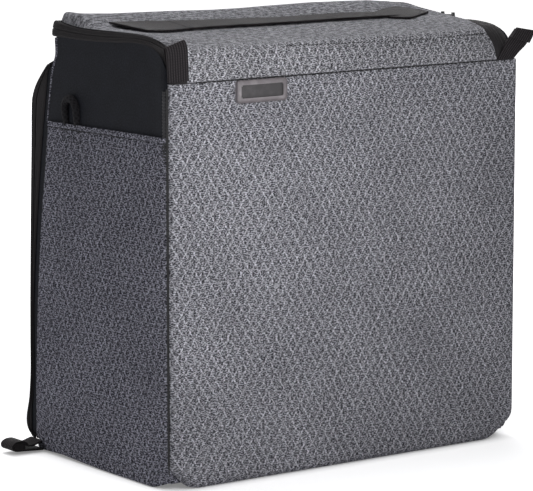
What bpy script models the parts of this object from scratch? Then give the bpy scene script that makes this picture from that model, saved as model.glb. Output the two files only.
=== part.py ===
"""Camera bag insert: a padded box with a zipped top lid, a zipped rear door and movable dividers.

Metres, +Z up. The origin is on the floor under the middle of the insert. The front panel faces -Y,
the door faces +Y, and the side pockets face -X and +X. It stands on its base.
"""
import math

import bmesh
import bpy
from mathutils import Matrix, Vector

MM = 0.001

# Overall sizes of the case
WIDTH = 335 * MM                # across the faces of the two side pockets
FRONT_Y = -100 * MM             # face of the front panel
BASE_DEPTH = 193 * MM           # front face to the side walls' rear edge, at the floor
TOP_DEPTH = 158 * MM            # the same at the top: the rear edge leans forward
CASE_TOP = 332 * MM             # top edge of the side walls
SEAM_DROP = 26.5 * MM           # from there down to the front seam, where the lid is sewn on

# Sheet and foam thicknesses
FRONT_WALL = 9 * MM
SIDE_WALL = 8 * MM
BASE_WALL = 9 * MM
HEADER_WALL = 8 * MM
DOOR_WALL = 7 * MM
FLAP_WALL = 9 * MM              # the lid where it turns down over the front
DIVIDER = 8 * MM
LINER = 1.5 * MM
POCKET_FABRIC = 1.2 * MM
TAPE = 2 * MM                   # zip tape with its coil
WEBBING = 1.6 * MM

# Clearances
SEW_GAP = 0.3 * MM              # between two pieces sewn face to face
CHAIN_GAP = 0.5 * MM            # between the two tapes of the door's zip
CORNER_GAP = 1.4 * MM           # the same where the zip folds over the upper corners
LID_GAP = 1 * MM                # between the walls' top edges and the lid
POCKET_GAP = 4.6 * MM           # between the wall and the pocket's fabric
LINER_SETBACK = 3 * MM          # from a wall's free edge to its liner

# Side pockets and their cord loops
POCKET_DROP = 68 * MM           # from the top of the walls down to the pocket's hem
POCKET_FOOT = 1.2 * MM          # the pocket's lower edge above the floor
CORD = 5 * MM
LOOP_LEGS = 17 * MM             # between the middles of the two legs
LOOP_RISE = 19.5 * MM           # from the hem to the middle of the cord at the top of the loop
LOOP_PLACE_SHARE = 0.7          # middle of the loop, as a share of the case's depth from the front

# Lid
BAND_LAP = 2.5 * MM             # the lower tape laps this far over the wall
TAPE_SHOWN = 4.1 * MM           # width of each lid tape beside the coil
BAND_PROUD = 4.8 * MM           # thickness of the padded zip band
CORNER_RUN = 35 * MM            # the band starts to turn down this far behind the front
CORNER_PINCH = 2.5 * MM         # width left of the band at the front seam
LID_CROWN = 16 * MM             # from the top of the walls up to the lid's crown
LID_HINGE_OUT = 3.5 * MM        # the fold's axis lies this far in front of the front panel

# Rear door
DOOR_PROUD = 8.5 * MM           # the door's face stands this far behind the walls at the foot
DOOR_LEAN = 7 * MM              # how far the outer face leans forward up to the shoulder
DOOR_FLAT_FROM = 40 * MM        # the straight part starts at this height
SHOULDER_DROP = 58 * MM         # it ends this far under the top of the walls and turns forward
DOOR_TOP_DROP = 22.5 * MM       # the turned top meets the case this far under it
DOOR_FOOT = 8.5 * MM            # lower edge of the door
DOOR_BULGE = 4.5 * MM           # the fabric swells this much near the foot
BULGE_HEIGHT = 21 * MM          # height of the middle of that swelling
SHOULDER_POWER = 1.4            # below 2 the shoulder is flatter than an ellipse
CHAIN_SHARE = 0.7               # the coil's place between the wall's edge and the door's outer face
TAPE_LAP = 3 * MM               # the case's tape laps this far over the side wall
HEADER_LAP = 4 * MM             # and this far over the header at the top
TAPE_START = 6 * MM             # the side tapes start this far up the door from its foot
TOP_TAPE = 9 * MM               # width of the case's tape across the top
DOOR_TOP_TAPE = 5 * MM          # width of the door's tape across the top
DOOR_HINGE_PROUD = 5 * MM       # the fold at the door's foot lies this far behind the walls
DOOR_HINGE_HEIGHT = 10 * MM

# Carry handle on the lid
HANDLE_INSET = 18.5 * MM        # from the side of the case to a sewn end
GRIP_INSET = 71.5 * MM          # from the side of the case to the end of the folded grip
HANDLE_PLACE_SHARE = 0.538      # its middle, as a share of the lid's depth from the front
HANDLE_WIDTH = 46 * MM          # webbing, flat
GRIP_WIDTH = 20 * MM            # webbing, folded lengthwise
GRIP_THICK = 4.6 * MM
GRIP_RISE = 6 * MM              # from the top of the walls up to the grip's underside at rest

# Grab tabs at the ends of the zips
TAB_WIDTH = 19 * MM
TAB_LENGTH = 27 * MM
TAB_FOLD = 12 * MM              # length of the turned and sewn end
TAB_FOLD_THICK = 4.5 * MM
TAB_INSET = 18.5 * MM           # from the side of the case to the inner edge of an upper tab
TAB_LEAN = 12 * MM              # the right tab leans out by this
LOWER_TAB_LENGTH = 29 * MM
LOWER_TAB_FROM_REAR = 7.5 * MM  # wall's rear edge to the middle of a lower tab

# Blank rubber badge
BADGE_WIDTH = 46 * MM
BADGE_HEIGHT = 17 * MM
BADGE_THICK = 2 * MM
BADGE_RIM = 2.6 * MM
BADGE_RECESS = 0.6 * MM
BADGE_INSET = 81 * MM           # from the left side of the case to the middle of the badge
BADGE_ROUND = 2.5 * MM

# Dividers: two uprights make three columns, and shelves cross the columns
UPRIGHT_PLACE_SHARE = 0.149     # an upright's distance from the middle, as a share of the width
UPRIGHT_DROP = 36 * MM          # from the top of the walls down to the uprights' top
DIVIDER_SETBACK = 4 * MM        # uprights stop this far inside the side walls' rear edge
SHELF_REAR_SHARE = 0.86         # a shelf's rear edge, as a share of the case's depth from the front
SHELF_SETBACK = 2 * MM          # shelves stop this far behind the front liner
HOOK_TAPE = 1.2 * MM            # hook strip that holds an upright on the front liner
HOOK_TAPE_HALF = 20 * MM
HOOK_TAPE_MARGIN = 9 * MM
SHELF_FLAP = 22 * MM            # hook flaps turned down at a shelf's ends
SHELF_HEIGHT_SHARES = {
    "left_lower_shelf": (-1, 0.316),
    "left_upper_shelf": (-1, 0.617),
    "centre_shelf": (0, 0.452),
    "right_shelf": (1, 0.557),
}

# Zip sliders, parked on the right side
SLIDER_LENGTH = 12 * MM
SLIDER_WIDTH = 8.6 * MM
SLIDER_THICK = 3.2 * MM
SLIDER_TAIL_SHARE = 0.62        # width of a slider's narrow end as a share of its width
SLIDER_GAP = 1 * MM             # between two sliders parked nose to nose
BRIDGE_WIDTH = 2.4 * MM
BRIDGE_RISE = 2.6 * MM
PULL_LENGTH = 30 * MM
PULL_WIDTH = 7 * MM
PULL_THICK = 2.4 * MM
PULL_NECK_SHARE = 0.5           # width at the top of a pull as a share of its width
LID_SLIDER_SHARE = 0.608        # where they meet, as a share of the lid's depth from the front
DOOR_SLIDER_SHARE = 0.21        # height of the door's slider, as a share of the walls' height
DOOR_SLIDER_FAR_SHARE = 0.6     # it can be run up to here in a straight line

# Edge rounding
FOAM_ROUND = 3 * MM
CORNER_ROUND = 7 * MM           # upright corners of the front panel
EDGE_ROUND = 0.4 * MM           # small hard pieces
ROUND_STEPS = 3
DOOR_LINER_SKIP_STEPS = 2       # steps of the door's foot that have no liner
LID_STEPS = 24
LID_CROSS_STEPS = 16
LID_FLAP_STEPS = 3              # steps of the lid that belong to the front flap
REACH = 1 * MM                  # overrun of a cutter past the face it cuts

# Places worked out from the sizes above
HALF = WIDTH / 2
SEAM_HEIGHT = CASE_TOP - SEAM_DROP
POCKET_HEIGHT = CASE_TOP - POCKET_DROP
LID_RIDGE = CASE_TOP + LID_CROWN
WALL_X = HALF - POCKET_FABRIC - POCKET_GAP
INNER_X = WALL_X - SIDE_WALL
LINER_X = INNER_X - SEW_GAP - LINER
FLOOR_IN = BASE_WALL + SEW_GAP
LINER_TOP = FLOOR_IN + LINER
WALL_FRONT = FRONT_Y + FRONT_WALL + SEW_GAP
LINER_FRONT = WALL_FRONT + LINER
REAR_BASE = FRONT_Y + BASE_DEPTH
REAR_TOP = FRONT_Y + TOP_DEPTH
DOOR_BACK = REAR_BASE + DOOR_PROUD
DOOR_SHOULDER = CASE_TOP - SHOULDER_DROP
DOOR_TOP = CASE_TOP - DOOR_TOP_DROP
HANDLE_HALF = HALF - HANDLE_INSET
GRIP_HALF = HALF - GRIP_INSET
HANDLE_Y = FRONT_Y + TOP_DEPTH * HANDLE_PLACE_SHARE
GRIP_LIFT = CASE_TOP + GRIP_RISE
TAB_X = HALF - TAB_INSET + TAB_WIDTH / 2
BADGE_X = BADGE_INSET - HALF
UPRIGHT_X = WIDTH * UPRIGHT_PLACE_SHARE
UPRIGHT_TOP = CASE_TOP - UPRIGHT_DROP
SHELF_REAR = FRONT_Y + BASE_DEPTH * SHELF_REAR_SHARE
LOOP_MIDDLE = FRONT_Y + BASE_DEPTH * LOOP_PLACE_SHARE
BAND_LOW = CASE_TOP - BAND_LAP
BAND_CHAIN = BAND_LOW + TAPE_SHOWN
BAND_TOP = BAND_CHAIN + SEW_GAP + TAPE_SHOWN
BAND_IN = WALL_X + SEW_GAP
BAND_OUT = BAND_IN + BAND_PROUD
BAND_CORNER = BAND_PROUD + SEW_GAP
CORNER_Y = FRONT_Y + CORNER_RUN
LID_FOOT = SEAM_HEIGHT + 2 * SEW_GAP
LID_UNDER = CASE_TOP + LID_GAP
TAPE_X = WALL_X + SEW_GAP + TAPE
LID_HINGE = Vector((0, FRONT_Y - LID_HINGE_OUT, SEAM_HEIGHT))
LOWER_TAB_TOP = SEW_GAP + WEBBING
DOOR_HINGE = Vector((0, REAR_BASE + DOOR_HINGE_PROUD, DOOR_HINGE_HEIGHT))


def clear_scene():
    for old in list(bpy.data.objects):
        bpy.data.objects.remove(old, do_unlink=True)


def new_collection(name):
    made = bpy.data.collections.new(name)
    bpy.context.scene.collection.children.link(made)
    return made


def material(name, colour, roughness, metallic=0.0):
    made = bpy.data.materials.new(name)
    made.use_nodes = True
    shader = made.node_tree.nodes["Principled BSDF"]
    shader.inputs["Base Color"].default_value = (*colour, 1.0)
    shader.inputs["Roughness"].default_value = roughness
    shader.inputs["Metallic"].default_value = metallic
    return made


def finish(obj, name, look):
    """Name an object, give it its own copy of a material and file it under the insert."""
    obj.name = name
    obj.data.name = name
    obj.data.materials.clear()
    obj.data.materials.append(look.copy())
    for home in list(obj.users_collection):
        home.objects.unlink(obj)
    PARTS.objects.link(obj)
    MADE[name] = obj
    return obj


def mesh_object(bm, name, look, smooth_angle=35):
    bmesh.ops.recalc_face_normals(bm, faces=bm.faces[:])
    if bm.calc_volume(signed=True) < 0:
        bmesh.ops.reverse_faces(bm, faces=bm.faces[:])
    mesh = bpy.data.meshes.new(name)
    bm.to_mesh(mesh)
    bm.free()
    mesh.shade_smooth()
    mesh.set_sharp_from_angle(angle=math.radians(smooth_angle))
    return finish(bpy.data.objects.new(name, mesh), name, look)


def box(name, low, high, look, rounding=0.0):
    """A block between two corners, with all its edges rounded."""
    low = Vector(low)
    high = Vector(high)
    bm = bmesh.new()
    bmesh.ops.create_cube(bm, size=1.0)
    bmesh.ops.scale(bm, vec=high - low, verts=bm.verts)
    made = mesh_object(bm, name, look)
    made.location = (low + high) / 2
    if rounding:
        bevel = made.modifiers.new("rounding", "BEVEL")
        bevel.width = rounding
        bevel.segments = ROUND_STEPS
    return made


def plate(name, points, axis, start, end, look):
    """A flat outline across an axis, filled and extruded from start to end along it."""
    curve = bpy.data.curves.new(name, "CURVE")
    curve.dimensions = "2D"
    curve.fill_mode = "BOTH"
    curve.extrude = (end - start) / 2
    line = curve.splines.new("POLY")
    line.points.add(len(points) - 1)
    for knot, (across, up) in zip(line.points, points):
        knot.co = (across, up, 0, 1)
    line.use_cyclic_u = True
    made = finish(bpy.data.objects.new(name, curve), name, look)
    middle = (start + end) / 2
    quarter = math.radians(90)
    if axis == "X":
        made.location = (middle, 0, 0)
        made.rotation_euler = (quarter, 0, quarter)
    elif axis == "Y":
        made.location = (0, middle, 0)
        made.rotation_euler = (quarter, 0, 0)
    else:
        made.location = (0, 0, middle)
    return made


def slab(name, across, along, place, look):
    """A grid thickened into a closed slab, whose every point is set by place(u, v, w).

    u runs along the slab, v across it and w from its inner to its outer face, each from 0 to 1.
    """
    bm = bmesh.new()
    bmesh.ops.create_grid(bm, x_segments=along, y_segments=across, size=1.0)
    lifted = bmesh.ops.extrude_face_region(bm, geom=bm.faces[:])["geom"]
    outer = {item for item in lifted if isinstance(item, bmesh.types.BMVert)}
    for vert in bm.verts:
        vert.co = place((vert.co.x + 1) / 2, (vert.co.y + 1) / 2, 1 if vert in outer else 0)
    return mesh_object(bm, name, look)


def ribbon(name, stations, thickness, look):
    """A strip through stations of (edge point, other edge point, outward normal)."""
    count = len(stations) - 1

    def place(u, v, w):
        low, high, normal = stations[round(u * count)]
        return low.lerp(high, v) - normal * thickness * (1 - w)

    return slab(name, 1, count, place, look)


def tube(name, points, radius, look):
    curve = bpy.data.curves.new(name, "CURVE")
    curve.dimensions = "3D"
    curve.bevel_depth = radius
    curve.bevel_resolution = 2
    curve.use_fill_caps = True
    line = curve.splines.new("POLY")
    line.points.add(len(points) - 1)
    for knot, point in zip(line.points, points):
        knot.co = (*point, 1)
    return finish(bpy.data.objects.new(name, curve), name, look)


def arc(centre, radius, start, end, steps=6):
    """Points on a quarter turn or less, angles in degrees."""
    turns = [math.radians(start + (end - start) * step / steps) for step in range(steps + 1)]
    return [(centre[0] + radius * math.cos(turn), centre[1] + radius * math.sin(turn)) for turn in turns]


def along(points, share):
    """The point at a share of a line's whole length."""
    lengths = [(b - a).length for a, b in zip(points, points[1:])]
    left = share * sum(lengths)
    for start, end, length in zip(points, points[1:], lengths):
        if left <= length:
            return start.lerp(end, left / length)
        left -= length
    return points[-1].copy()


def length_of(points):
    return sum((b - a).length for a, b in zip(points, points[1:]))


def pivot(name, place, parent=None):
    """An empty on a joint's axis, which carries what moves about it."""
    made = bpy.data.objects.new(name, None)
    made.empty_display_size = CORD
    made.location = place
    PARTS.objects.link(made)
    SPOTS[name] = Vector(place)
    if parent:
        made.parent = bpy.data.objects[parent]
        made.matrix_parent_inverse = Matrix.Translation(-SPOTS[parent])
    return made


def carry(name, *nodes):
    """Hang finished pieces on a pivot without moving them."""
    for node in nodes:
        piece = MADE[node]
        piece.parent = bpy.data.objects[name]
        piece.matrix_parent_inverse = Matrix.Translation(-SPOTS[name])


def rear_edge(height):
    """The side walls' rear edge, which leans forward more and more towards the top."""
    return REAR_BASE - (REAR_BASE - REAR_TOP) * (height / CASE_TOP) ** 2


def lid_curve(top, turn):
    """A point on the rounded upper front corner of the side, for a line whose level part is at top.

    turn runs from 0 on the level part to 1 at the front seam.
    """
    run = CORNER_RUN - CORNER_PINCH * (BAND_TOP - top) / (BAND_TOP - BAND_LOW)
    rise = top - LID_FOOT
    angle = math.radians(90 * turn)
    return CORNER_Y - run * math.sin(angle), LID_FOOT + rise * math.cos(angle)


def clipped_corner(top, front):
    """The same rounded corner, cut off at an upright line."""
    steps = 10
    kept = [Vector(lid_curve(top, step / steps)) for step in range(steps + 1)]
    kept = [point for point in kept if point.x > front + REACH]
    run = CORNER_Y - Vector(lid_curve(top, 1)).x
    turn = math.degrees(math.asin((CORNER_Y - front) / run)) / 90
    return kept + [Vector(lid_curve(top, turn))]


def door_line():
    """The door's outer face from its foot to the end of its turned top, in (y, z)."""
    top_y = rear_edge(DOOR_TOP) + SEW_GAP + TAPE
    shoulder_y = DOOR_BACK - DOOR_LEAN
    points = []
    rise = DOOR_FLAT_FROM - DOOR_FOOT
    for step in range(7):
        height = DOOR_FOOT + rise * step / 6
        reach = (height - BULGE_HEIGHT) / (DOOR_FLAT_FROM - BULGE_HEIGHT)
        swell = math.cos(math.radians(90 * max(-1, min(1, reach)))) ** 2
        points.append(Vector((DOOR_BACK + DOOR_BULGE * swell, height)))
    for step in range(1, 8):
        share = step / 8
        height = DOOR_FLAT_FROM + (DOOR_SHOULDER - DOOR_FLAT_FROM) * share
        points.append(Vector((DOOR_BACK - DOOR_LEAN * share, height)))
    for step in range(9):
        angle = math.radians(90 * step / 8)
        out = math.cos(angle) ** (2 / SHOULDER_POWER) if step < 8 else 0.0
        up = math.sin(angle) ** (2 / SHOULDER_POWER)
        height = DOOR_SHOULDER + (DOOR_TOP - DOOR_SHOULDER) * up
        points.append(Vector((top_y + (shoulder_y - top_y) * out, height)))
    return points


def inset_line(points, distance):
    """A line offset to the left of its own direction, which is the door's inner side."""
    moved = []
    for index, point in enumerate(points):
        before = points[max(index - 1, 0)]
        after = points[min(index + 1, len(points) - 1)]
        way = (after - before).normalized()
        moved.append(point + Vector((-way.y, way.x)) * distance)
    return moved


def cut_line(points, start, end, count):
    """Evenly spaced points on a stretch of a line, given as shares of its length."""
    return [along(points, start + (end - start) * step / count) for step in range(count + 1)]


def side_point(side, spot, distance):
    return Vector((side * distance, spot.x, spot.y))


# The collection, the materials and the book of finished pieces
clear_scene()
PARTS = new_collection("camera_bag_insert")
CUTTERS = new_collection("cutters")
MADE = {}
SPOTS = {}

grey_fabric = material("grey_fabric", (0.10, 0.10, 0.115), 0.9)
black_fabric = material("black_fabric", (0.012, 0.013, 0.016), 0.75)
tape_fabric = material("tape_fabric", (0.055, 0.052, 0.055), 0.8)
webbing = material("webbing", (0.03, 0.026, 0.029), 0.8)
cord_fabric = material("cord_fabric", (0.015, 0.015, 0.017), 0.7)
lining = material("lining", (0.16, 0.165, 0.175), 0.95)
divider_fabric = material("divider_fabric", (0.13, 0.135, 0.145), 0.95)
hook_tape = material("hook_tape", (0.02, 0.02, 0.022), 0.9)
badge_rubber = material("badge_rubber", (0.18, 0.17, 0.18), 0.6)
slider_metal = material("slider_metal", (0.03, 0.03, 0.032), 0.35, 0.9)
pull_rubber = material("pull_rubber", (0.02, 0.02, 0.021), 0.6)


def build_case():
    box("base_panel", (-HALF + CORD / 2, FRONT_Y + SEW_GAP, 0),
        (HALF - CORD / 2, REAR_BASE - SEW_GAP, BASE_WALL), grey_fabric, FOAM_ROUND)
    front = [(-HALF, WALL_FRONT - SEW_GAP)]
    front += arc((-HALF + CORNER_ROUND, FRONT_Y + CORNER_ROUND), CORNER_ROUND, 180, 270)
    front += arc((HALF - CORNER_ROUND, FRONT_Y + CORNER_ROUND), CORNER_ROUND, 270, 360)
    front.append((HALF, WALL_FRONT - SEW_GAP))
    plate("front_panel", front, "Z", FLOOR_IN, SEAM_HEIGHT, grey_fabric)

    steps = 12
    rear = [(rear_edge(CASE_TOP + (FLOOR_IN - CASE_TOP) * step / steps),
             CASE_TOP + (FLOOR_IN - CASE_TOP) * step / steps) for step in range(steps + 1)]
    header_face = REAR_TOP - HEADER_WALL
    header_foot = DOOR_TOP - HEADER_LAP
    corner = [tuple(point) for point in reversed(clipped_corner(CASE_TOP, WALL_FRONT))]
    wall = [(WALL_FRONT, FLOOR_IN)] + corner + rear
    for side, word in ((-1, "left"), (1, "right")):
        inner, outer = sorted((side * INNER_X, side * WALL_X))
        plate(f"{word}_side_wall", wall, "X", inner, outer, black_fabric)

        front = LINER_FRONT + SEW_GAP
        rise = CASE_TOP - 2 * LINER_SETBACK
        lined = [(front, LINER_TOP + SEW_GAP), (front, SEAM_HEIGHT - LINER_SETBACK), (CORNER_Y, rise)]
        lined += [(header_face - SEW_GAP, rise), (header_face - SEW_GAP, header_foot - SEW_GAP)]
        lined += [(y - LINER_SETBACK, z) for y, z in rear if LINER_TOP < z < header_foot - SEW_GAP]
        lined += [(rear_edge(LINER_TOP) - LINER_SETBACK, LINER_TOP + SEW_GAP)]
        inner, outer = sorted((side * LINER_X, side * (INNER_X - SEW_GAP)))
        plate(f"{word}_liner", lined, "X", inner, outer, lining)

        inner, outer = sorted((side * (HALF - POCKET_FABRIC), side * HALF))
        pocket = [(WALL_FRONT, POCKET_FOOT), (WALL_FRONT, POCKET_HEIGHT)]
        pocket += [(rear_edge(POCKET_HEIGHT * (1 - step / steps)), POCKET_HEIGHT * (1 - step / steps))
                   for step in range(steps)]
        pocket += [(rear_edge(POCKET_FOOT), POCKET_FOOT)]
        plate(f"{word}_pocket", pocket, "X", inner, outer, grey_fabric)

    box("front_liner", (-LINER_X + SEW_GAP, WALL_FRONT, LINER_TOP + SEW_GAP),
        (LINER_X - SEW_GAP, LINER_FRONT, SEAM_HEIGHT - LINER_SETBACK), lining)
    box("base_liner", (-INNER_X + SEW_GAP, WALL_FRONT, FLOOR_IN),
        (INNER_X - SEW_GAP, REAR_BASE - LINER_SETBACK, LINER_TOP), lining)

    header = [(header_face, header_foot), (rear_edge(header_foot), header_foot)]
    header += [(rear_edge(CASE_TOP), CASE_TOP), (header_face, CASE_TOP)]
    plate("rear_header", header, "X", -INNER_X + SEW_GAP, INNER_X - SEW_GAP, black_fabric)


def band_stations(low_top, high_top):
    """Stations of a lid zip tape: left front corner, left side, rear, right side, right corner."""
    half = []
    steps = 9
    for step in range(steps):
        turn = 1 - step / steps
        low = lid_curve(low_top, turn)
        high = lid_curve(high_top, turn)
        half.append((Vector((-BAND_OUT, *low)), Vector((-BAND_OUT, *high)), Vector((-1, 0, 0))))
    rear = rear_edge(BAND_LOW) + SEW_GAP + BAND_PROUD
    straight = 6
    for step in range(straight + 1):
        y = CORNER_Y + (rear - BAND_CORNER - CORNER_Y) * step / straight
        half.append((Vector((-BAND_OUT, y, low_top)), Vector((-BAND_OUT, y, high_top)), Vector((-1, 0, 0))))
    turn_steps = 4
    for step in range(1, turn_steps + 1):
        angle = math.radians(90 * step / turn_steps)
        normal = Vector((-math.cos(angle), math.sin(angle), 0))
        middle = Vector((-BAND_OUT + BAND_CORNER, rear - BAND_CORNER, 0)) + normal * BAND_CORNER
        half.append((middle + Vector((0, 0, low_top)), middle + Vector((0, 0, high_top)), normal))
    flip = Vector((-1, 1, 1))
    other = [(low * flip, high * flip, normal * flip) for low, high, normal in reversed(half)]
    return half + other


def lid_lines():
    """The lid's profiles in (y, z) from the front seam to the rear edge.

    Three of them: the outer face at the sides, the outer face in the middle, and the inner face.
    """
    steps = 10
    edge = [Vector(lid_curve(BAND_TOP, 1 - step / steps)) for step in range(steps + 1)]
    edge.append(Vector((REAR_TOP, BAND_TOP)))
    rise = LID_RIDGE - LID_FOOT
    middle = [Vector((FRONT_Y + TOP_DEPTH * back, LID_FOOT + rise * up)) for back, up in LID_MIDDLE_SHARES]
    inner_face = FRONT_Y + FLAP_WALL
    corner = clipped_corner(LID_UNDER, inner_face)
    inner = [Vector((inner_face, LID_FOOT))] + list(reversed(corner)) + [Vector((REAR_TOP, LID_UNDER))]
    return edge, middle, inner


# Depth from the front and height above the seam, as shares of the case's top depth and the crown's rise
LID_MIDDLE_SHARES = (
    (0, 0), (0, 0.28), (0, 0.44), (0.013, 0.527), (0.051, 0.585), (0.222, 0.645), (0.443, 0.70),
    (0.57, 0.735), (0.66, 0.80), (0.76, 0.94), (0.85, 1.0), (0.93, 0.965), (0.98, 0.86), (1, 0.76),
)


def build_lid():
    edge, middle, inner = lid_lines()
    under = cut_line(inner[:2], 0, 1, LID_FLAP_STEPS)[:-1]
    under += cut_line(inner[1:], 0, 1, LID_STEPS - LID_FLAP_STEPS)

    def place(u, v, w):
        x = WALL_X * (2 * v - 1)
        if w == 0:
            spot = under[round(u * LID_STEPS)]
        else:
            puffed = 1 - abs(2 * v - 1) ** 6
            spot = along(edge, u).lerp(along(middle, u), puffed)
        return Vector((x, spot.x, spot.y))

    slab("top_lid", LID_CROSS_STEPS, LID_STEPS, place, grey_fabric)
    box("lid_liner", (-LINER_X + SEW_GAP, CORNER_Y, LID_UNDER - SEW_GAP - LINER),
        (LINER_X - SEW_GAP, REAR_TOP - HEADER_WALL - SEW_GAP, LID_UNDER - SEW_GAP), lining)
    ribbon("lid_zip_lower_tape", band_stations(BAND_LOW, BAND_CHAIN), BAND_PROUD, tape_fabric)
    ribbon("lid_zip_upper_tape", band_stations(BAND_CHAIN + SEW_GAP, BAND_TOP), BAND_PROUD, tape_fabric)


def lid_height(x, y):
    """Height of the lid's outer face over a point of its plan."""
    edge, middle, _ = lid_lines()
    puffed = 1 - min(1, abs(x / WALL_X)) ** 6

    def height(line):
        for a, b in zip(line, line[1:]):
            if a.x <= y <= b.x and b.x > a.x:
                return a.y + (b.y - a.y) * (y - a.x) / (b.x - a.x)
        return line[-1].y

    return height(edge) * (1 - puffed) + height(middle) * puffed


def build_handle():
    """The grip is webbing folded lengthwise. Its flat ends are sewn down on the lid."""
    low = (-GRIP_HALF, HANDLE_Y - GRIP_WIDTH / 2, GRIP_LIFT)
    high = (GRIP_HALF, HANDLE_Y + GRIP_WIDTH / 2, GRIP_LIFT + GRIP_THICK)
    box("handle_grip", low, high, webbing, EDGE_ROUND)
    for side, word in ((-1, "left"), (1, "right")):

        def place(u, v, w):
            reach = (GRIP_HALF + SEW_GAP) + (HANDLE_HALF - GRIP_HALF - SEW_GAP) * u
            spread = math.sin(math.radians(90 * min(1, 1.4 * u)))
            width = GRIP_WIDTH + (HANDLE_WIDTH - GRIP_WIDTH) * spread
            y = HANDLE_Y + width * (v - 0.5)
            rest = lid_height(reach, y) + 2 * SEW_GAP
            near = max(rest, GRIP_LIFT)
            return Vector((side * reach, y, near + (rest - near) * spread + WEBBING * w))

        slab(f"handle_{word}_end", 8, 10, place, webbing)


def folded_tab(name, foot, way, across, face, length, look):
    """Webbing that stands on foot, runs along way and ends in a thick turned and sewn fold.

    across is the direction of the webbing's width, and face the side that it shows.
    """
    plain = length - TAB_FOLD
    runs = [0, plain, plain + TAB_FOLD * 0.08, length - TAB_FOLD * 0.12, length]
    thick = [WEBBING, WEBBING, TAB_FOLD_THICK, TAB_FOLD_THICK, TAB_FOLD_THICK * 0.6]

    def place(u, v, w):
        index = round(u * (len(runs) - 1))
        side = across * TAB_WIDTH * (v - 0.5)
        return foot + way * runs[index] + side + face * thick[index] * w

    return slab(name, 1, len(runs) - 1, place, look)


def build_tabs():
    front = FRONT_Y - SEW_GAP
    foot = LID_FOOT + SEW_GAP
    across = Vector((1, 0, 0))
    out = Vector((0, -1, 0))
    root = Vector((-TAB_X, front, foot))
    folded_tab("left_grab_tab", root, Vector((0, 0, 1)), across, out, TAB_LENGTH, webbing)
    lean = Vector((TAB_LEAN, 0, TAB_LENGTH)).normalized()
    turned = Vector((lean.z, 0, -lean.x))
    lifted = foot + abs(turned.z) * TAB_WIDTH / 2
    folded_tab("right_grab_tab", Vector((TAB_X, front, lifted)), lean, turned, out, TAB_LENGTH, webbing)
    y = REAR_BASE - LOWER_TAB_FROM_REAR
    for side, word in ((-1, "left"), (1, "right")):
        start = Vector((side * (HALF + SEW_GAP), y, LOWER_TAB_TOP - WEBBING))
        folded_tab(f"lower_{word}_tab", start, Vector((side, 0, 0)), Vector((0, 1, 0)), Vector((0, 0, 1)),
                   LOWER_TAB_LENGTH, webbing)


def build_door():
    outer = door_line()
    whole = length_of(outer)
    chain_top = 1 - TOP_TAPE / whole
    tape_top = chain_top - (DOOR_TOP_TAPE + SEW_GAP) / whole
    panel = cut_line(outer, 0, tape_top - CORNER_GAP / whole, 34)
    inner = inset_line(panel, DOOR_WALL)
    half = WALL_X

    def panel_place(u, v, w):
        index = round(u * (len(panel) - 1))
        spot = panel[index] if w else inner[index]
        return Vector((half * (2 * v - 1), spot.x, spot.y))

    slab("rear_door", 2, len(panel) - 1, panel_place, black_fabric)

    liner_out = inset_line(panel, DOOR_WALL + SEW_GAP)[DOOR_LINER_SKIP_STEPS:-1]
    liner_in = inset_line(panel, DOOR_WALL + SEW_GAP + LINER)[DOOR_LINER_SKIP_STEPS:-1]

    def liner_place(u, v, w):
        index = round(u * (len(liner_out) - 1))
        spot = liner_out[index] if w else liner_in[index]
        return Vector(((LINER_X - SEW_GAP) * (2 * v - 1), spot.x, spot.y))

    slab("door_liner", 1, len(liner_out) - 1, liner_place, lining)

    # The zip follows the gap between the side wall's rear edge and the door's outer face.
    start = TAPE_START / whole
    end = tape_top - DOOR_TOP_TAPE / whole
    count = 20
    rims = cut_line(outer, start, end, count)
    walls = [Vector((rear_edge(spot.y), spot.y)) for spot in rims]
    chains = [wall.lerp(rim, CHAIN_SHARE) for wall, rim in zip(walls, rims)]
    out = Vector((-1, 0, 0))
    case_side = []
    door_side = []
    for wall, chain, rim in zip(walls, chains, rims):
        lap = Vector((wall.x - TAPE_LAP, wall.y))
        case_side.append((side_point(-1, lap, TAPE_X), side_point(-1, chain, TAPE_X), out))
        step = Vector((CORNER_GAP if chain is chains[-1] else CHAIN_GAP, 0))
        door_side.append((side_point(-1, chain + step, TAPE_X), side_point(-1, rim, TAPE_X), out))
    top = outer[-1]
    chain = along(outer, chain_top)
    below = along(outer, chain_top - CORNER_GAP / whole)
    rim = along(outer, tape_top)
    slope = (top - rim).normalized()
    fold = out + Vector((0, slope.y, -slope.x))
    flip = Vector((-1, 1, 1))
    for stations, inside, outside in ((case_side, top, chain), (door_side, below, rim)):
        stations.append((side_point(-1, inside, TAPE_X), side_point(-1, outside, TAPE_X), fold))
        stations += [(low * flip, high * flip, way * flip) for low, high, way in reversed(stations)]
    ribbon("door_zip_case_tape", case_side, TAPE, tape_fabric)
    ribbon("door_zip_door_tape", door_side, TAPE, tape_fabric)
    return chains


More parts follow.
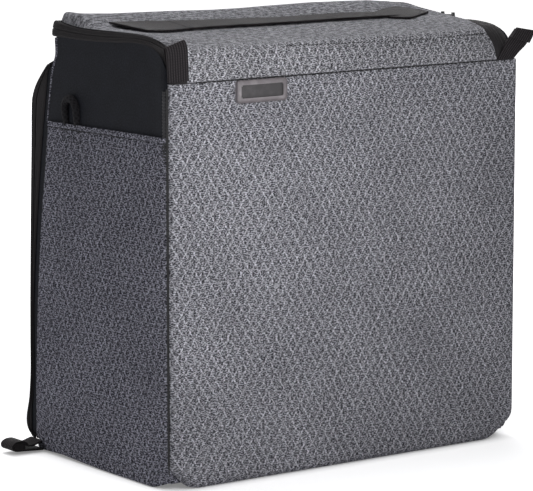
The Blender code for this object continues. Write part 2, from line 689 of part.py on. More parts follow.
def build_badge():
    top = SEAM_HEIGHT - SEW_GAP
    centre_z = top - BADGE_HEIGHT / 2
    outline = []
    for sx, sz, start in ((1, 1, 0), (-1, 1, 90), (-1, -1, 180), (1, -1, 270)):
        x = BADGE_X + sx * (BADGE_WIDTH / 2 - BADGE_ROUND)
        z = centre_z + sz * (BADGE_HEIGHT / 2 - BADGE_ROUND)
        outline += arc((x, z), BADGE_ROUND, start, start + 90, 4)
    back = FRONT_Y - SEW_GAP
    plate("badge_outline", outline, "Y", back - BADGE_THICK, back, badge_rubber)
    flat = MADE.pop("badge_outline")
    bpy.context.view_layer.update()
    seen = flat.evaluated_get(bpy.context.evaluated_depsgraph_get())
    mesh = bpy.data.meshes.new_from_object(seen)
    bm = bmesh.new()
    bm.from_mesh(mesh)
    bmesh.ops.remove_doubles(bm, verts=bm.verts[:], dist=EDGE_ROUND / 10)
    bm.transform(flat.matrix_world)
    bpy.data.objects.remove(flat)
    badge = mesh_object(bm, "blank_badge", badge_rubber)

    bm = bmesh.new()
    bmesh.ops.create_cube(bm, size=1.0)
    size = (BADGE_WIDTH - 2 * BADGE_RIM, BADGE_RECESS + REACH, BADGE_HEIGHT - 2 * BADGE_RIM)
    bmesh.ops.scale(bm, vec=size, verts=bm.verts)
    mesh = bpy.data.meshes.new("badge_recess")
    bm.to_mesh(mesh)
    bm.free()
    cutter = bpy.data.objects.new("badge_recess", mesh)
    front = back - BADGE_THICK
    cutter.location = (BADGE_X, front + (BADGE_RECESS - REACH) / 2, centre_z)
    cutter.hide_render = True
    cutter.display_type = "WIRE"
    CUTTERS.objects.link(cutter)
    cut = badge.modifiers.new("recess", "BOOLEAN")
    cut.operation = "DIFFERENCE"
    cut.object = cutter


def build_loops():
    """A short braided cord, bent into a loop and sewn behind each pocket's hem."""
    radius = LOOP_LEGS / 2
    straight = LOOP_RISE - radius
    steps = 12
    for side, word in ((-1, "left"), (1, "right")):
        x = side * (WALL_X + SEW_GAP + CORD / 2)
        foot = POCKET_HEIGHT + SEW_GAP
        near = LOOP_MIDDLE - radius
        far = LOOP_MIDDLE + radius
        points = [Vector((x, near, foot)), Vector((x, near, foot + straight / 2))]
        for step in range(steps + 1):
            angle = math.radians(180 - 180 * step / steps)
            height = foot + straight + radius * math.sin(angle)
            points.append(Vector((x, LOOP_MIDDLE + radius * math.cos(angle), height)))
        points += [Vector((x, far, foot + straight / 2)), Vector((x, far, foot))]
        tube(f"{word}_cord_loop", points, CORD / 2, cord_fabric)
        pivot(f"{word}_loop_hinge", (side * HALF, LOOP_MIDDLE, POCKET_HEIGHT))
        carry(f"{word}_loop_hinge", f"{word}_cord_loop")


def build_dividers():
    rear_of = lambda height: rear_edge(height) - DIVIDER_SETBACK
    foot = LINER_TOP + SEW_GAP
    front = LINER_FRONT + SEW_GAP + HOOK_TAPE + SEW_GAP
    steps = 8
    for side, word in ((-1, "left"), (1, "right")):
        outline = [(front, foot), (front, UPRIGHT_TOP)]
        for step in range(steps + 1):
            height = UPRIGHT_TOP + (foot - UPRIGHT_TOP) * step / steps
            outline.append((rear_of(height), height))
        middle = side * UPRIGHT_X
        start = middle - DIVIDER / 2
        plate(f"{word}_upright_divider", outline, "X", start, start + DIVIDER, divider_fabric)
        low = (middle - HOOK_TAPE_HALF, LINER_FRONT + SEW_GAP, foot + HOOK_TAPE_MARGIN)
        high = (middle + HOOK_TAPE_HALF, LINER_FRONT + SEW_GAP + HOOK_TAPE, UPRIGHT_TOP - HOOK_TAPE_MARGIN)
        box(f"{word}_upright_hook_strip", low, high, hook_tape)

    columns = {
        -1: (-LINER_X, -UPRIGHT_X - DIVIDER / 2),
        0: (-UPRIGHT_X + DIVIDER / 2, UPRIGHT_X - DIVIDER / 2),
        1: (UPRIGHT_X + DIVIDER / 2, LINER_X),
    }
    shelf_front = front + SHELF_SETBACK
    for name, (column, share) in SHELF_HEIGHT_SHARES.items():
        height = CASE_TOP * share
        left = columns[column][0] + SEW_GAP
        right = columns[column][1] - SEW_GAP
        top = height + DIVIDER / 2
        under = height - DIVIDER / 2
        flap = under - SHELF_FLAP
        outline = [
            (left, top), (left, flap), (left + LINER, flap), (left + LINER, under),
            (right - LINER, under), (right - LINER, flap), (right, flap), (right, top),
        ]
        plate(name, outline, "Y", shelf_front, SHELF_REAR, divider_fabric)
        pivot(f"{name}_slide", (0, 0, height))
        carry(f"{name}_slide", name)


def slider(name, centre, heading, seat, parent=None):
    """A slider on the right side's chain with its hanging pull.

    heading is the way in which it closes its zip, and its wide end leads. seat is the x of the
    tape under it. A bridge on its back holds the pull.
    """
    across = Vector((0, -heading.z, heading.y))
    base_x = seat + SEW_GAP

    def body_place(u, v, w):
        share = SLIDER_TAIL_SHARE + (1 - SLIDER_TAIL_SHARE) * math.sin(math.radians(90 * u))
        reach = heading * SLIDER_LENGTH * (u - 0.5)
        side = across * SLIDER_WIDTH * share * (v - 0.5)
        bridge = BRIDGE_RISE * w if abs(v - 0.5) < 0.3 and 0.2 < u < 0.8 else 0
        return centre + reach + side + Vector((base_x + SLIDER_THICK * w + bridge, 0, 0))

    slab(f"{name}_slider", 5, 6, body_place, slider_metal)
    top_x = base_x + SLIDER_THICK + BRIDGE_RISE + SEW_GAP

    def pull_place(u, v, w):
        neck = PULL_NECK_SHARE + (1 - PULL_NECK_SHARE) * math.sin(math.radians(90 * min(1, 3 * u)))
        y = centre.y + PULL_WIDTH * neck * (v - 0.5)
        return Vector((top_x + PULL_THICK * w, y, centre.z + BRIDGE_WIDTH - PULL_LENGTH * u))

    slab(f"{name}_pull", 1, 6, pull_place, pull_rubber)
    pivot(f"{name}_slide", centre + Vector((seat, 0, 0)), parent)
    pivot(f"{name}_swing", (top_x, centre.y, centre.z + BRIDGE_WIDTH), f"{name}_slide")
    carry(f"{name}_slide", f"{name}_slider")
    carry(f"{name}_swing", f"{name}_pull")


build_case()
build_lid()
build_handle()
build_tabs()
door_chain = build_door()
build_badge()
build_loops()
build_dividers()

pivot("lid_hinge", LID_HINGE)
carry("lid_hinge", "top_lid", "lid_liner", "lid_zip_upper_tape", "handle_left_end", "handle_right_end")
pivot("handle_lift", (0, HANDLE_Y, GRIP_LIFT), "lid_hinge")
carry("handle_lift", "handle_grip")
pivot("left_tab_hinge", (-TAB_X, FRONT_Y, LID_FOOT), "lid_hinge")
carry("left_tab_hinge", "left_grab_tab")
pivot("right_tab_hinge", (TAB_X, FRONT_Y, LID_FOOT), "lid_hinge")
carry("right_tab_hinge", "right_grab_tab")
for side, word in ((-1, "left"), (1, "right")):
    fold = (side * (HALF + SEW_GAP), REAR_BASE - LOWER_TAB_FROM_REAR, LOWER_TAB_TOP)
    pivot(f"lower_{word}_tab_hinge", fold)
    carry(f"lower_{word}_tab_hinge", f"lower_{word}_tab")

pivot("door_hinge", DOOR_HINGE)
carry("door_hinge", "rear_door", "door_liner", "door_zip_door_tape")
lid_meet = Vector((0, FRONT_Y + TOP_DEPTH * LID_SLIDER_SHARE, BAND_CHAIN + SEW_GAP / 2))
apart = Vector((0, (SLIDER_LENGTH + SLIDER_GAP) / 2, 0))
slider("lid_front", lid_meet - apart, Vector((0, 1, 0)), BAND_OUT)
slider("lid_rear", lid_meet + apart, Vector((0, -1, 0)), BAND_OUT)
low_height = CASE_TOP * DOOR_SLIDER_SHARE
far_height = CASE_TOP * DOOR_SLIDER_FAR_SHARE
start, far = [min(door_chain, key=lambda spot: abs(spot.y - height)) for height in (low_height, far_height)]
slider("door", Vector((0, *start)), Vector((0, *(start - far).normalized())), TAPE_X)
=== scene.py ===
# %% [markdown]
# # A padded camera insert
#
# The real object is a foam box covered in cloth that slips into a backpack. Its lid is sewn along the
# front and zipped round the other three sides, and its rear door is sewn at the foot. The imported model
# gives the place of every piece, so this lesson only dresses it: each solid gets the cloth, webbing,
# cord, rubber or metal that the real thing shows.

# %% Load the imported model
import math

import bpy
import numpy as np
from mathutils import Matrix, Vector


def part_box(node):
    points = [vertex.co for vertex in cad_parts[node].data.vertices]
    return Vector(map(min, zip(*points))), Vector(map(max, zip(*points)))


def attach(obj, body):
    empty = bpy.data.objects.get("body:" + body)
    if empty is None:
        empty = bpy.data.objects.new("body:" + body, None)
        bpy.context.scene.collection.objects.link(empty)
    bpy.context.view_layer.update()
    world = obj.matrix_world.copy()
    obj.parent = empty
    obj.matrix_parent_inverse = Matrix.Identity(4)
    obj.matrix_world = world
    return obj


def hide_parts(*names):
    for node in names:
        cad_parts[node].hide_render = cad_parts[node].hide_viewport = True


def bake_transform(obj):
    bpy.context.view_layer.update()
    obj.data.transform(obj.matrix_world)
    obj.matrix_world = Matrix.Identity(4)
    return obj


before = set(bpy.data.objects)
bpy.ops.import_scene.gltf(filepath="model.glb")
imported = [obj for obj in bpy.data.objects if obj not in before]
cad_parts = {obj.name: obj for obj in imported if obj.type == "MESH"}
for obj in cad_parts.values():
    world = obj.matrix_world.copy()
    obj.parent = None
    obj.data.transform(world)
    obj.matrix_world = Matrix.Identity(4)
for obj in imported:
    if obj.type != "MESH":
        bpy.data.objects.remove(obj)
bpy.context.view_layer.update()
print("nodes in the packed model:", len(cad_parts))

# %% [markdown]
# ## Camera and floor
#
# The picture was taken with a long lens from the front left, slightly above the lid. Fitting straight
# edges of the box gave the camera's place and its lens, so they are typed in here. The floor is a plain
# white sheet. A camera ray sees it as white wherever light falls on it, and the shadow under the box
# stays.

# %% Camera
bpy.ops.object.select_all(action="DESELECT")
eye = Vector((-1.47389, -1.97881, 0.54823))
aim = Vector((-0.00659, 0.0, 0.15956))
bpy.ops.object.camera_add(location=eye)
camera = bpy.context.object
camera.name = "photo_camera"
camera.rotation_euler = (aim - eye).to_track_quat("-Z", "Y").to_euler()
camera.data.lens = 213.12
camera.data.sensor_width = 36
camera.data.sensor_fit = "HORIZONTAL"
bpy.context.scene.camera = camera
bpy.context.scene.view_settings.view_transform = "Standard"
print("camera stands", round((aim - eye).length, 2), "m from the middle of the insert")

# %% [markdown]
# ## Writing materials as sums
#
# A node material is a small sum done at every point of a surface. One class wraps a socket, so that a
# plus or a times sign adds the matching node, and one method adds any other node. Every finish below
# then reads like a formula.

# %% A socket that can be added and multiplied


class Wire:
    """One output socket of a material."""

    def __init__(self, socket):
        self.socket = socket

    def node(self, kind, settings, sockets, output=0):
        tree = self.socket.id_data
        made = tree.nodes.new(kind)
        for name, value in settings.items():
            setattr(made, name, value)
        for name, value in sockets.items():
            if isinstance(value, Wire):
                tree.links.new(value.socket, made.inputs[name])
            else:
                made.inputs[name].default_value = value
        return Wire(made.outputs[output])

    def math(self, operation, *others, clamp=False):
        sockets = {index: value for index, value in enumerate((self, *others))}
        return self.node("ShaderNodeMath", {"operation": operation, "use_clamp": clamp}, sockets)

    def __add__(self, other):
        return self.math("ADD", other)

    def __sub__(self, other):
        return self.math("SUBTRACT", other)

    def __mul__(self, other):
        return self.math("MULTIPLY", other)

    def __truediv__(self, other):
        return self.math("DIVIDE", other)

    def __rsub__(self, other):
        return (self * -1.0) + other

    __radd__ = __add__
    __rmul__ = __mul__

    def step(self, low, high):
        """0 below low, 1 above high, straight between."""
        sockets = {"Value": self, "From Min": low, "From Max": high}
        return self.node("ShaderNodeMapRange", {"clamp": True}, sockets)


def part_of(wire, axis):
    return wire.node("ShaderNodeSeparateXYZ", {}, {"Vector": wire}, output="XYZ".index(axis))


def scaled(wire, factors):
    return wire.node("ShaderNodeVectorMath", {"operation": "MULTIPLY"}, {0: wire, 1: factors})


def noise(wire, scale, detail=2.0, roughness=0.5):
    sockets = {"Vector": wire, "Scale": scale, "Detail": detail, "Roughness": roughness}
    return wire.node("ShaderNodeTexNoise", {}, sockets)


def folded(wire):
    """A zigzag: 0.5 at each whole number, 0 halfway between two."""
    return (wire.math("FRACT") - 0.5).math("ABSOLUTE")


def blend_colours(share, first, second):
    """Mixes two colours, each a triple or a wire."""
    tree = share.socket.id_data
    mixer = tree.nodes.new("ShaderNodeMix")
    mixer.data_type = "RGBA"
    tree.links.new(share.socket, mixer.inputs[0])
    for socket, value in ((mixer.inputs[6], first), (mixer.inputs[7], second)):
        if isinstance(value, Wire):
            tree.links.new(value.socket, socket)
        else:
            socket.default_value = (*value, 1.0)
    return Wire(mixer.outputs[2])


# %% One material with its shader and its two kinds of coordinates


class Finish:
    """A material, its shader, and the coordinates that its pattern reads."""

    def __init__(self, name, **constants):
        self.material = bpy.data.materials.new(name)
        self.material.use_nodes = True
        self.tree = self.material.node_tree
        self.shader = self.tree.nodes["Principled BSDF"]
        for socket, value in constants.items():
            self.shader.inputs[socket.replace("_", " ")].default_value = value
        coordinates = self.tree.nodes.new("ShaderNodeTexCoord")
        self.flat = Wire(coordinates.outputs["UV"])
        self.space = Wire(coordinates.outputs["Object"])

    def feed(self, socket, wire):
        self.tree.links.new(wire.socket, self.shader.inputs[socket])

    def relief(self, height, strength, depth):
        sockets = {"Height": height, "Strength": strength, "Distance": depth}
        self.feed("Normal", height.node("ShaderNodeBump", {}, sockets))


# %% [markdown]
# ## Heather cloth
#
# The grey cloth is woven from dark and pale yarn. Two things show in the picture: short pale flecks that
# lie along the yarn, and a fine net of pale threads that makes small triangles about five millimetres
# wide. The cloth carries its own flat map in metres, so the net keeps its size round every corner. The
# flecks are stretched noise. The net is three families of parallel lines, thinned out by more noise.

# %% Heather cloth


def thread_lines(flat, turn, pitch, width, seed):
    """Pale lines of one direction, broken up so that no line is whole."""
    across = part_of(flat, "X") * math.cos(turn) + part_of(flat, "Y") * math.sin(turn)
    wander = noise(flat, 230.0 + 31 * seed, 1.0) * (pitch * 0.3)
    place = (across + wander * 1.3) / pitch
    off_line = folded(place)
    kept = noise(flat, 350.0 + 37 * seed, 2.0, 0.7).step(0.40, 0.54)
    return off_line.step(width, width * 0.35) * kept


def heather(name, dark, pale, fleck=(520.0, 1300.0), top_from=9.0):
    """top_from is where, along the sheet, the net fades and the flecks grow longer."""
    finish = Finish(name, Roughness=0.92, Specular_IOR_Level=0.1)
    flat = finish.flat
    top = part_of(flat, "Y").step(top_from, top_from + 0.012)
    long_fleck = noise(scaled(flat, (*fleck, 1.0)), 1.0, 0.5, 0.5).step(0.47, 0.61)
    drawn_fleck = noise(scaled(flat, (170.0, 420.0, 1.0)), 1.0, 1.0, 0.6).step(0.42, 0.62)
    long_fleck = long_fleck * (1.0 - top * 0.6) + drawn_fleck * top * 0.6
    fine_fleck = noise(scaled(flat, (900.0, 1500.0, 1.0)), 1.0, 0.5, 0.5).step(0.46, 0.60)
    net = thread_lines(flat, math.radians(31), 0.00675, 0.11, 1)
    net = net.math("MAXIMUM", thread_lines(flat, math.radians(-31), 0.00675, 0.11, 2))
    net = net.math("MAXIMUM", thread_lines(flat, math.radians(90), 0.00655, 0.08, 3) * 0.4)
    patches = noise(flat, 16.0, 2.0).step(0.3, 0.75)
    light = long_fleck * 0.48 + fine_fleck * 0.17 + net * (1.0 - top * 0.75) * 0.40
    light = (light * (0.85 + patches * 0.25)).math("MINIMUM", 1.0)
    finish.feed("Base Color", blend_colours(light, dark, pale))
    finish.relief(light + fine_fleck * 0.4, 0.6, 0.00025)
    return finish.material


heather_grey = heather("heather_grey", (0.018, 0.018, 0.024), (0.86, 0.86, 0.94))
heather_lid = heather("heather_lid", (0.026, 0.026, 0.031), (0.88, 0.88, 0.95), top_from=0.027)
# The same heather cloth made darker for the side pockets, base and rear pieces, which the lamps light less:
# painted shade.
heather_painted_shade = heather("heather_painted_shade", (0.003, 0.003, 0.009), (0.70, 0.70, 0.82), fleck=(400.0, 1000.0))
print("heather cloth made, three depths of grey")

# %% [markdown]
# ## Black cloth, webbing, tape, cord and lining
#
# The black side panels are a smooth brushed cloth over foam. Webbing is a flat nylon band with ribs
# along it. Zip tape is finer, and it hides the coil, so the coil isn't drawn. The lining is a short
# brushed loop cloth that hook tape holds on to. Each gets its grain from the flat map of its sheet.

# %% Smooth black cloth


def smooth_black():
    finish = Finish("smooth_black", Roughness=0.75, Specular_IOR_Level=0.12)
    grain = noise(finish.flat, 750.0, 2.0, 0.6).step(0.4, 0.68)
    dust = noise(finish.flat, 60.0, 3.0).step(0.35, 0.75)
    shade = grain * 0.6 + dust * 0.25
    finish.feed("Base Color", blend_colours(shade, (0.0022, 0.0026, 0.0045), (0.021, 0.023, 0.031)))
    finish.relief(grain, 0.35, 0.00012)
    return finish.material


def ribbed(name, dark, pale, pitch, depth, roughness=0.72):
    """Webbing and zip tape: ribs along the band, crossed by the weft."""
    finish = Finish(name, Roughness=roughness, Specular_IOR_Level=0.08)
    flat = finish.flat
    along = part_of(flat, "Y")
    across = part_of(flat, "X")
    rib = folded(across / pitch) * 2.0
    shifted = along / (pitch * 0.55) + (across / pitch).math("FLOOR") * 0.5
    weft = folded(shifted) * 2.0
    ridge = 1.0 - rib * rib
    height = ridge * ridge * (0.3 + weft * 0.7)
    fuzz = noise(flat, 1800.0, 2.0)
    # The colour follows the rib height, darker in the grooves and paler on the ridges: painted shade in the
    # weave. The fuzz adds random tone.
    finish.feed("Base Color", blend_colours(height * 0.85 + fuzz * 0.25, dark, pale))
    finish.relief(height + fuzz * 0.3, 0.7, depth)
    return finish.material


def brushed_loop(name, dark, pale):
    finish = Finish(name, Roughness=0.95, Specular_IOR_Level=0.1, Sheen_Weight=0.1, Sheen_Roughness=0.5)
    nap = noise(finish.flat, 900.0, 4.0, 0.65)
    clumps = noise(finish.flat, 120.0, 2.0).step(0.3, 0.7)
    finish.feed("Base Color", blend_colours(nap * 0.7 + clumps * 0.25, dark, pale))
    finish.relief(nap + clumps * 0.4, 0.8, 0.0004)
    return finish.material


def braid():
    finish = Finish("braided_cord", Roughness=0.8, Specular_IOR_Level=0.1)
    around = part_of(finish.flat, "X") / 0.0157
    along = part_of(finish.flat, "Y") / 0.0042
    left = folded(along + around * 4.0) * 2.0
    right = folded(along - around * 4.0) * 2.0
    strand = 1.0 - left.math("MINIMUM", right)
    # The colour follows the strands, darker in the grooves between them: painted shade in the braid.
    finish.feed("Base Color", blend_colours(strand, (0.0015, 0.0015, 0.002), (0.022, 0.021, 0.024)))
    finish.relief(strand, 0.8, 0.0004)
    return finish.material


def plain(name, colour, roughness, grain_scale=900.0, metallic=0.0, depth=0.00006):
    """Rubber, thread and painted metal: one colour with fine grain and small wear."""
    finish = Finish(name, Metallic=metallic, Specular_IOR_Level=0.45)
    grain = noise(finish.space, grain_scale, 3.0)
    worn = noise(finish.space, 160.0, 3.0).step(0.45, 0.8)
    lighter = tuple(min(1.0, value * 1.9 + 0.002) for value in colour)
    finish.feed("Base Color", blend_colours(worn * 0.5, colour, lighter))
    finish.feed("Roughness", roughness + grain * 0.16 - worn * 0.08)
    finish.relief(grain, 0.3, depth)
    return finish.material


black_cloth = smooth_black()
webbing_band = ribbed("webbing", (0.0006, 0.0005, 0.0006), (0.066, 0.059, 0.064), 0.0022, 0.0006)
handle_band = ribbed("handle_webbing", (0.006, 0.005, 0.006), (0.030, 0.0265, 0.029), 0.0011, 0.00025)
zip_tape = ribbed("zip_tape", (0.016, 0.015, 0.016), (0.062, 0.058, 0.061), 0.0008, 0.00022)
lining_loop = brushed_loop("lining_loop", (0.085, 0.088, 0.095), (0.24, 0.245, 0.26))
divider_loop = brushed_loop("divider_loop", (0.065, 0.068, 0.075), (0.20, 0.205, 0.22))
hook_cloth = brushed_loop("hook_cloth", (0.008, 0.008, 0.009), (0.045, 0.045, 0.048))
cord_braid = braid()
# Near black, for the stitches and for the upright seams' cord, where it paints the shadow in the groove.
thread_and_seam_shadow = plain("thread_and_seam_shadow", (0.003, 0.003, 0.004), 0.7, 2500.0)
# A paler black for the puckered welt behind the upright seams: painted highlight on its ribs.
welt_painted_shine = plain("welt_painted_shine", (0.020, 0.020, 0.023), 0.75, 2200.0, depth=0.00012)
badge_frame = plain("badge_frame", (0.25, 0.23, 0.243), 0.5, 1500.0)
badge_field = plain("badge_field", (0.054, 0.051, 0.054), 0.55, 1500.0)
painted_metal = plain("painted_metal", (0.022, 0.022, 0.024), 0.32, 700.0, metallic=0.85)
pull_rubber = plain("pull_rubber", (0.020, 0.020, 0.022), 0.55, 900.0)
print("materials made:", len(bpy.data.materials))

# %% [markdown]
# ## Sheets laid over surfaces
#
# Cloth starts flat. A grid is added with Blender's own tool and each of its points is then put on a
# surface that a short function describes in millimetres. The lengths along the grid become its flat
# map. Foam pads get a second surface behind the first, and thin cloth gets an even thickness.

# %% Helpers for sheets and pads
MM = 0.001
SHARES = {}


def choose(piece):
    bpy.ops.object.select_all(action="DESELECT")
    piece.select_set(True)
    bpy.context.view_layer.objects.active = piece


def points_of(piece):
    flat = np.empty(len(piece.data.vertices) * 3)
    piece.data.vertices.foreach_get("co", flat)
    return flat.reshape(-1, 3) / MM


def set_points(piece, points):
    piece.data.vertices.foreach_set("co", (np.asarray(points) * MM).ravel())
    piece.data.update()


def graded(share, start, end, edge, edge_share):
    """Spaces steps over a length, with edge_share of them in the last few millimetres at each end."""
    stops = (0.0, edge_share, 1.0 - edge_share, 1.0)
    inset = np.sign(end - start) * edge
    return np.interp(share, stops, (start, start + inset, end - inset, end))


def ease(value, low, high):
    """0 below low, 1 above high, with a soft start and end."""
    share = np.clip((value - low) / (high - low), 0, 1)
    return share * share * (3 - 2 * share)


def unit(rows):
    return rows / np.maximum(np.linalg.norm(rows, axis=1), 1e-9)[:, None]


def run_along(line):
    """How far each point of a line lies from its first one, measured along the line."""
    return np.concatenate(((0,), np.cumsum(np.linalg.norm(np.diff(line, axis=0), axis=1))))


def sampled(place, index, table):
    """Rows of a table at places between its own rows; index says where each of those lies."""
    return np.column_stack([np.interp(place, index, column) for column in table.T])


def smooth_line(points, count):
    """Evenly spaced points on a soft curve through the given ones."""
    pieces = 24
    points = np.asarray(points, float)
    ends = np.vstack((2 * points[0] - points[1], points, 2 * points[-1] - points[-2]))
    made = []
    for index in range(len(points) - 1):
        a, b, c, d = ends[index:index + 4]
        for step in range(pieces):
            t = step / pieces
            made.append(0.5 * (2 * b + (c - a) * t + (2 * a - 5 * b + 4 * c - d) * t ** 2
                               + (3 * b - a - 3 * c + d) * t ** 3))
    made.append(points[-1])
    made = np.array(made)
    run = run_along(made)
    return sampled(np.linspace(0, run[-1], count), run, made)


def laid_sheet(name, across, along, place):
    """A grid laid over a surface: place turns the shares u and v into x, y and z in millimetres."""
    bpy.ops.object.select_all(action="DESELECT")
    bpy.ops.mesh.primitive_grid_add(x_subdivisions=across, y_subdivisions=along, size=1)
    piece = bpy.context.object
    piece.name = name
    piece.data.name = name
    flat = points_of(piece) * MM + 0.5
    u = np.round(flat[:, 0] * across) / across
    v = np.round(flat[:, 1] * along) / along
    laid = np.column_stack([np.broadcast_to(value, u.shape) for value in place(u, v)])
    set_points(piece, laid)
    SHARES[name] = (u, v)
    order = np.lexsort((u, v))
    table = laid[order].reshape(along + 1, across + 1, 3)
    widths = np.cumsum(np.linalg.norm(np.diff(table, axis=1), axis=2), axis=1)
    widths = np.hstack((np.zeros((along + 1, 1)), widths))
    widths -= widths[:, across // 2][:, None]
    heights = run_along(table[:, across // 2])[:, None] * np.ones((1, across + 1))
    flat_map = np.empty((len(u), 2))
    flat_map[order] = np.column_stack((widths.ravel(), heights.ravel())) * MM
    corners = np.empty(len(piece.data.loops), int)
    piece.data.loops.foreach_get("vertex_index", corners)
    piece.data.uv_layers[0].data.foreach_set("uv", flat_map[corners].ravel())
    return piece


def box_of(name):
    """The two corners of a node's box, in millimetres."""
    return (np.array(corner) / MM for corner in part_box(name))


def cube_between(name, low, high):
    """Blender's cube with its corners moved to a box."""
    bpy.ops.object.select_all(action="DESELECT")
    bpy.ops.mesh.primitive_cube_add(size=1)
    piece = bpy.context.object
    piece.name = name
    piece.data.name = name
    set_points(piece, points_of(piece) * MM * (high - low) + (low + high) / 2)
    return piece


def edited(piece, step):
    """Runs one edit-mode operator on the whole piece."""
    choose(piece)
    bpy.ops.object.mode_set(mode="EDIT")
    bpy.ops.mesh.select_all(action="SELECT")
    step()
    bpy.ops.object.mode_set(mode="OBJECT")


def face_out(piece):
    edited(piece, lambda: bpy.ops.mesh.normals_make_consistent(inside=False))


def weld(piece, distance=0.00002):
    edited(piece, lambda: bpy.ops.mesh.remove_doubles(threshold=distance))


def applied(piece, kind, **settings):
    """Adds a modifier, sets it and applies it, so that the mesh keeps its result."""
    choose(piece)
    modifier = piece.modifiers.new(kind.lower(), kind)
    for name, value in settings.items():
        setattr(modifier, name, value)
    bpy.ops.object.modifier_apply(modifier=modifier.name)


def turn_outward(piece, centre):
    """Flips a sheet whose faces look towards the given point."""
    normals = np.empty(len(piece.data.polygons) * 3)
    piece.data.polygons.foreach_get("normal", normals)
    middles = np.empty(len(piece.data.polygons) * 3)
    piece.data.polygons.foreach_get("center", middles)
    away = middles.reshape(-1, 3) - np.array(centre) * MM
    if (normals.reshape(-1, 3) * away).sum() < 0:
        piece.data.flip_normals()


def backed(piece, inner):
    """Gives a sheet a foam body: its Solidify copy is laid over a second surface."""
    u, v = SHARES[piece.name]
    applied(piece, "SOLIDIFY", thickness=MM, offset=-1)
    points = points_of(piece)
    points[len(u):] = np.column_stack([np.broadcast_to(value, u.shape) for value in inner(u, v)])
    set_points(piece, points)
    face_out(piece)


def lined(piece):
    """Puts lining cloth on a pad's back and rim."""
    piece.data.materials.append(lining_loop)
    count = len(SHARES[piece.name][0])
    for face in piece.data.polygons:
        face.material_index = 1 if max(face.vertices) >= count else 0


def thickened(piece, thickness, centre=(0, 0, 165)):
    turn_outward(piece, centre)
    applied(piece, "SOLIDIFY", thickness=thickness * MM, offset=-1)
    face_out(piece)


def finished(piece, body, look, stands_for=(), angle=40):
    """Smooth shading, a material, the piece's body and the parts it stands for. A piece with no body stays
    unattached.
    """
    choose(piece)
    bpy.ops.object.shade_smooth_by_angle(angle=math.radians(angle))
    piece.data.materials.clear()
    piece.data.materials.append(look)
    if body:
        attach(piece, body)
    if stands_for:
        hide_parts(*stands_for)
    return piece


def foam_pad(name, across, along, outer, inner, body, slot, look):
    """A grid over the outer surface with a foam body behind it."""
    piece = laid_sheet(name, across, along, outer)
    backed(piece, inner)
    finished(piece, body, look, [slot], 60)
    return piece


def swell(piece, sewn, pressure, cap):
    """Cloth held at its seams is blown out a little, as foam does. sewn is each point's hold, 0 to 1."""
    start = points_of(piece)
    last_frame = 16
    group = piece.vertex_groups.new(name="sewn")
    for hold in np.unique(np.round(sewn, 2)):
        if hold > 0:
            chosen = np.nonzero(np.round(sewn, 2) == hold)[0]
            group.add([int(index) for index in chosen], float(hold), "REPLACE")
    cloth = piece.modifiers.new("swelling", "CLOTH")
    cloth.settings.vertex_group_mass = "sewn"
    cloth.settings.quality = 4
    cloth.settings.mass = 0.3
    cloth.settings.tension_stiffness = 20
    cloth.settings.compression_stiffness = 20
    cloth.settings.bending_stiffness = 2
    cloth.settings.use_pressure = True
    cloth.settings.uniform_pressure_force = pressure
    cloth.settings.effector_weights.gravity = 0
    cloth.point_cache.frame_start = 1
    cloth.point_cache.frame_end = last_frame
    for step in range(1, last_frame + 1):
        bpy.context.scene.frame_set(step)
    choose(piece)
    bpy.ops.object.modifier_apply(modifier=cloth.name)
    bpy.context.scene.frame_set(1)
    moved = points_of(piece) - start
    reach = np.linalg.norm(moved, axis=1)
    moved *= np.minimum(1, cap / np.maximum(reach, 1e-6))[:, None]
    set_points(piece, start + moved)
    piece.vertex_groups.clear()
    print(piece.name, "swelled by up to", round(float(np.minimum(reach, cap).max()), 2), "mm")


# %% [markdown]
# ## Front panel
#
# One sheet of heather cloth covers the front. It rolls round both upright edges to a seam on the side,
# rolls under at the foot, and its lower corners are round. The roll is drawn once, as a line that turns
# through small arcs, and the grid follows it round every edge.

# %% The rolled edge and the front panel


def rolled(arcs):
    """A line that starts straight and turns through (radius, degrees) arcs: length, reach and drop."""
    heading, reach, drop, run = 0.0, 0.0, 0.0, 0.0
    line = [(0.0, 0.0, 0.0)]
    for radius, turn in arcs:
        steps = 16
        part = math.radians(turn) / steps
        length = radius * part if turn else radius / steps
        for _ in range(steps):
            heading += part / 2
            reach += length * math.cos(heading)
            drop += length * math.sin(heading)
            heading += part / 2
            run += length
            line.append((run, reach, drop))
    return np.array(line)


def soft_foot(x, y, z):
    """Draws in the two front corners at the floor, where four layers of foam meet."""
    pull = 5.0 * ease(np.abs(x), 138, 167) * ease(-y, 66, 97) * (1 - ease(z, 0, 27)) ** 1.5
    return x - np.sign(x) * pull * 0.7, y + pull * 0.7, z + pull * 1.1


SIDE_ROLL = rolled([(7.0, 65), (1.1, 105), (2.0, 0)])
FOOT_ROLL = rolled([(8.0, 88), (3.0, 0)])
ROLL_LENGTH = 11.8
FLAT_REACH = 11.5
CORNER_X = 149.0
CORNER_Z = 19.5
SEAM_Z = 305.5


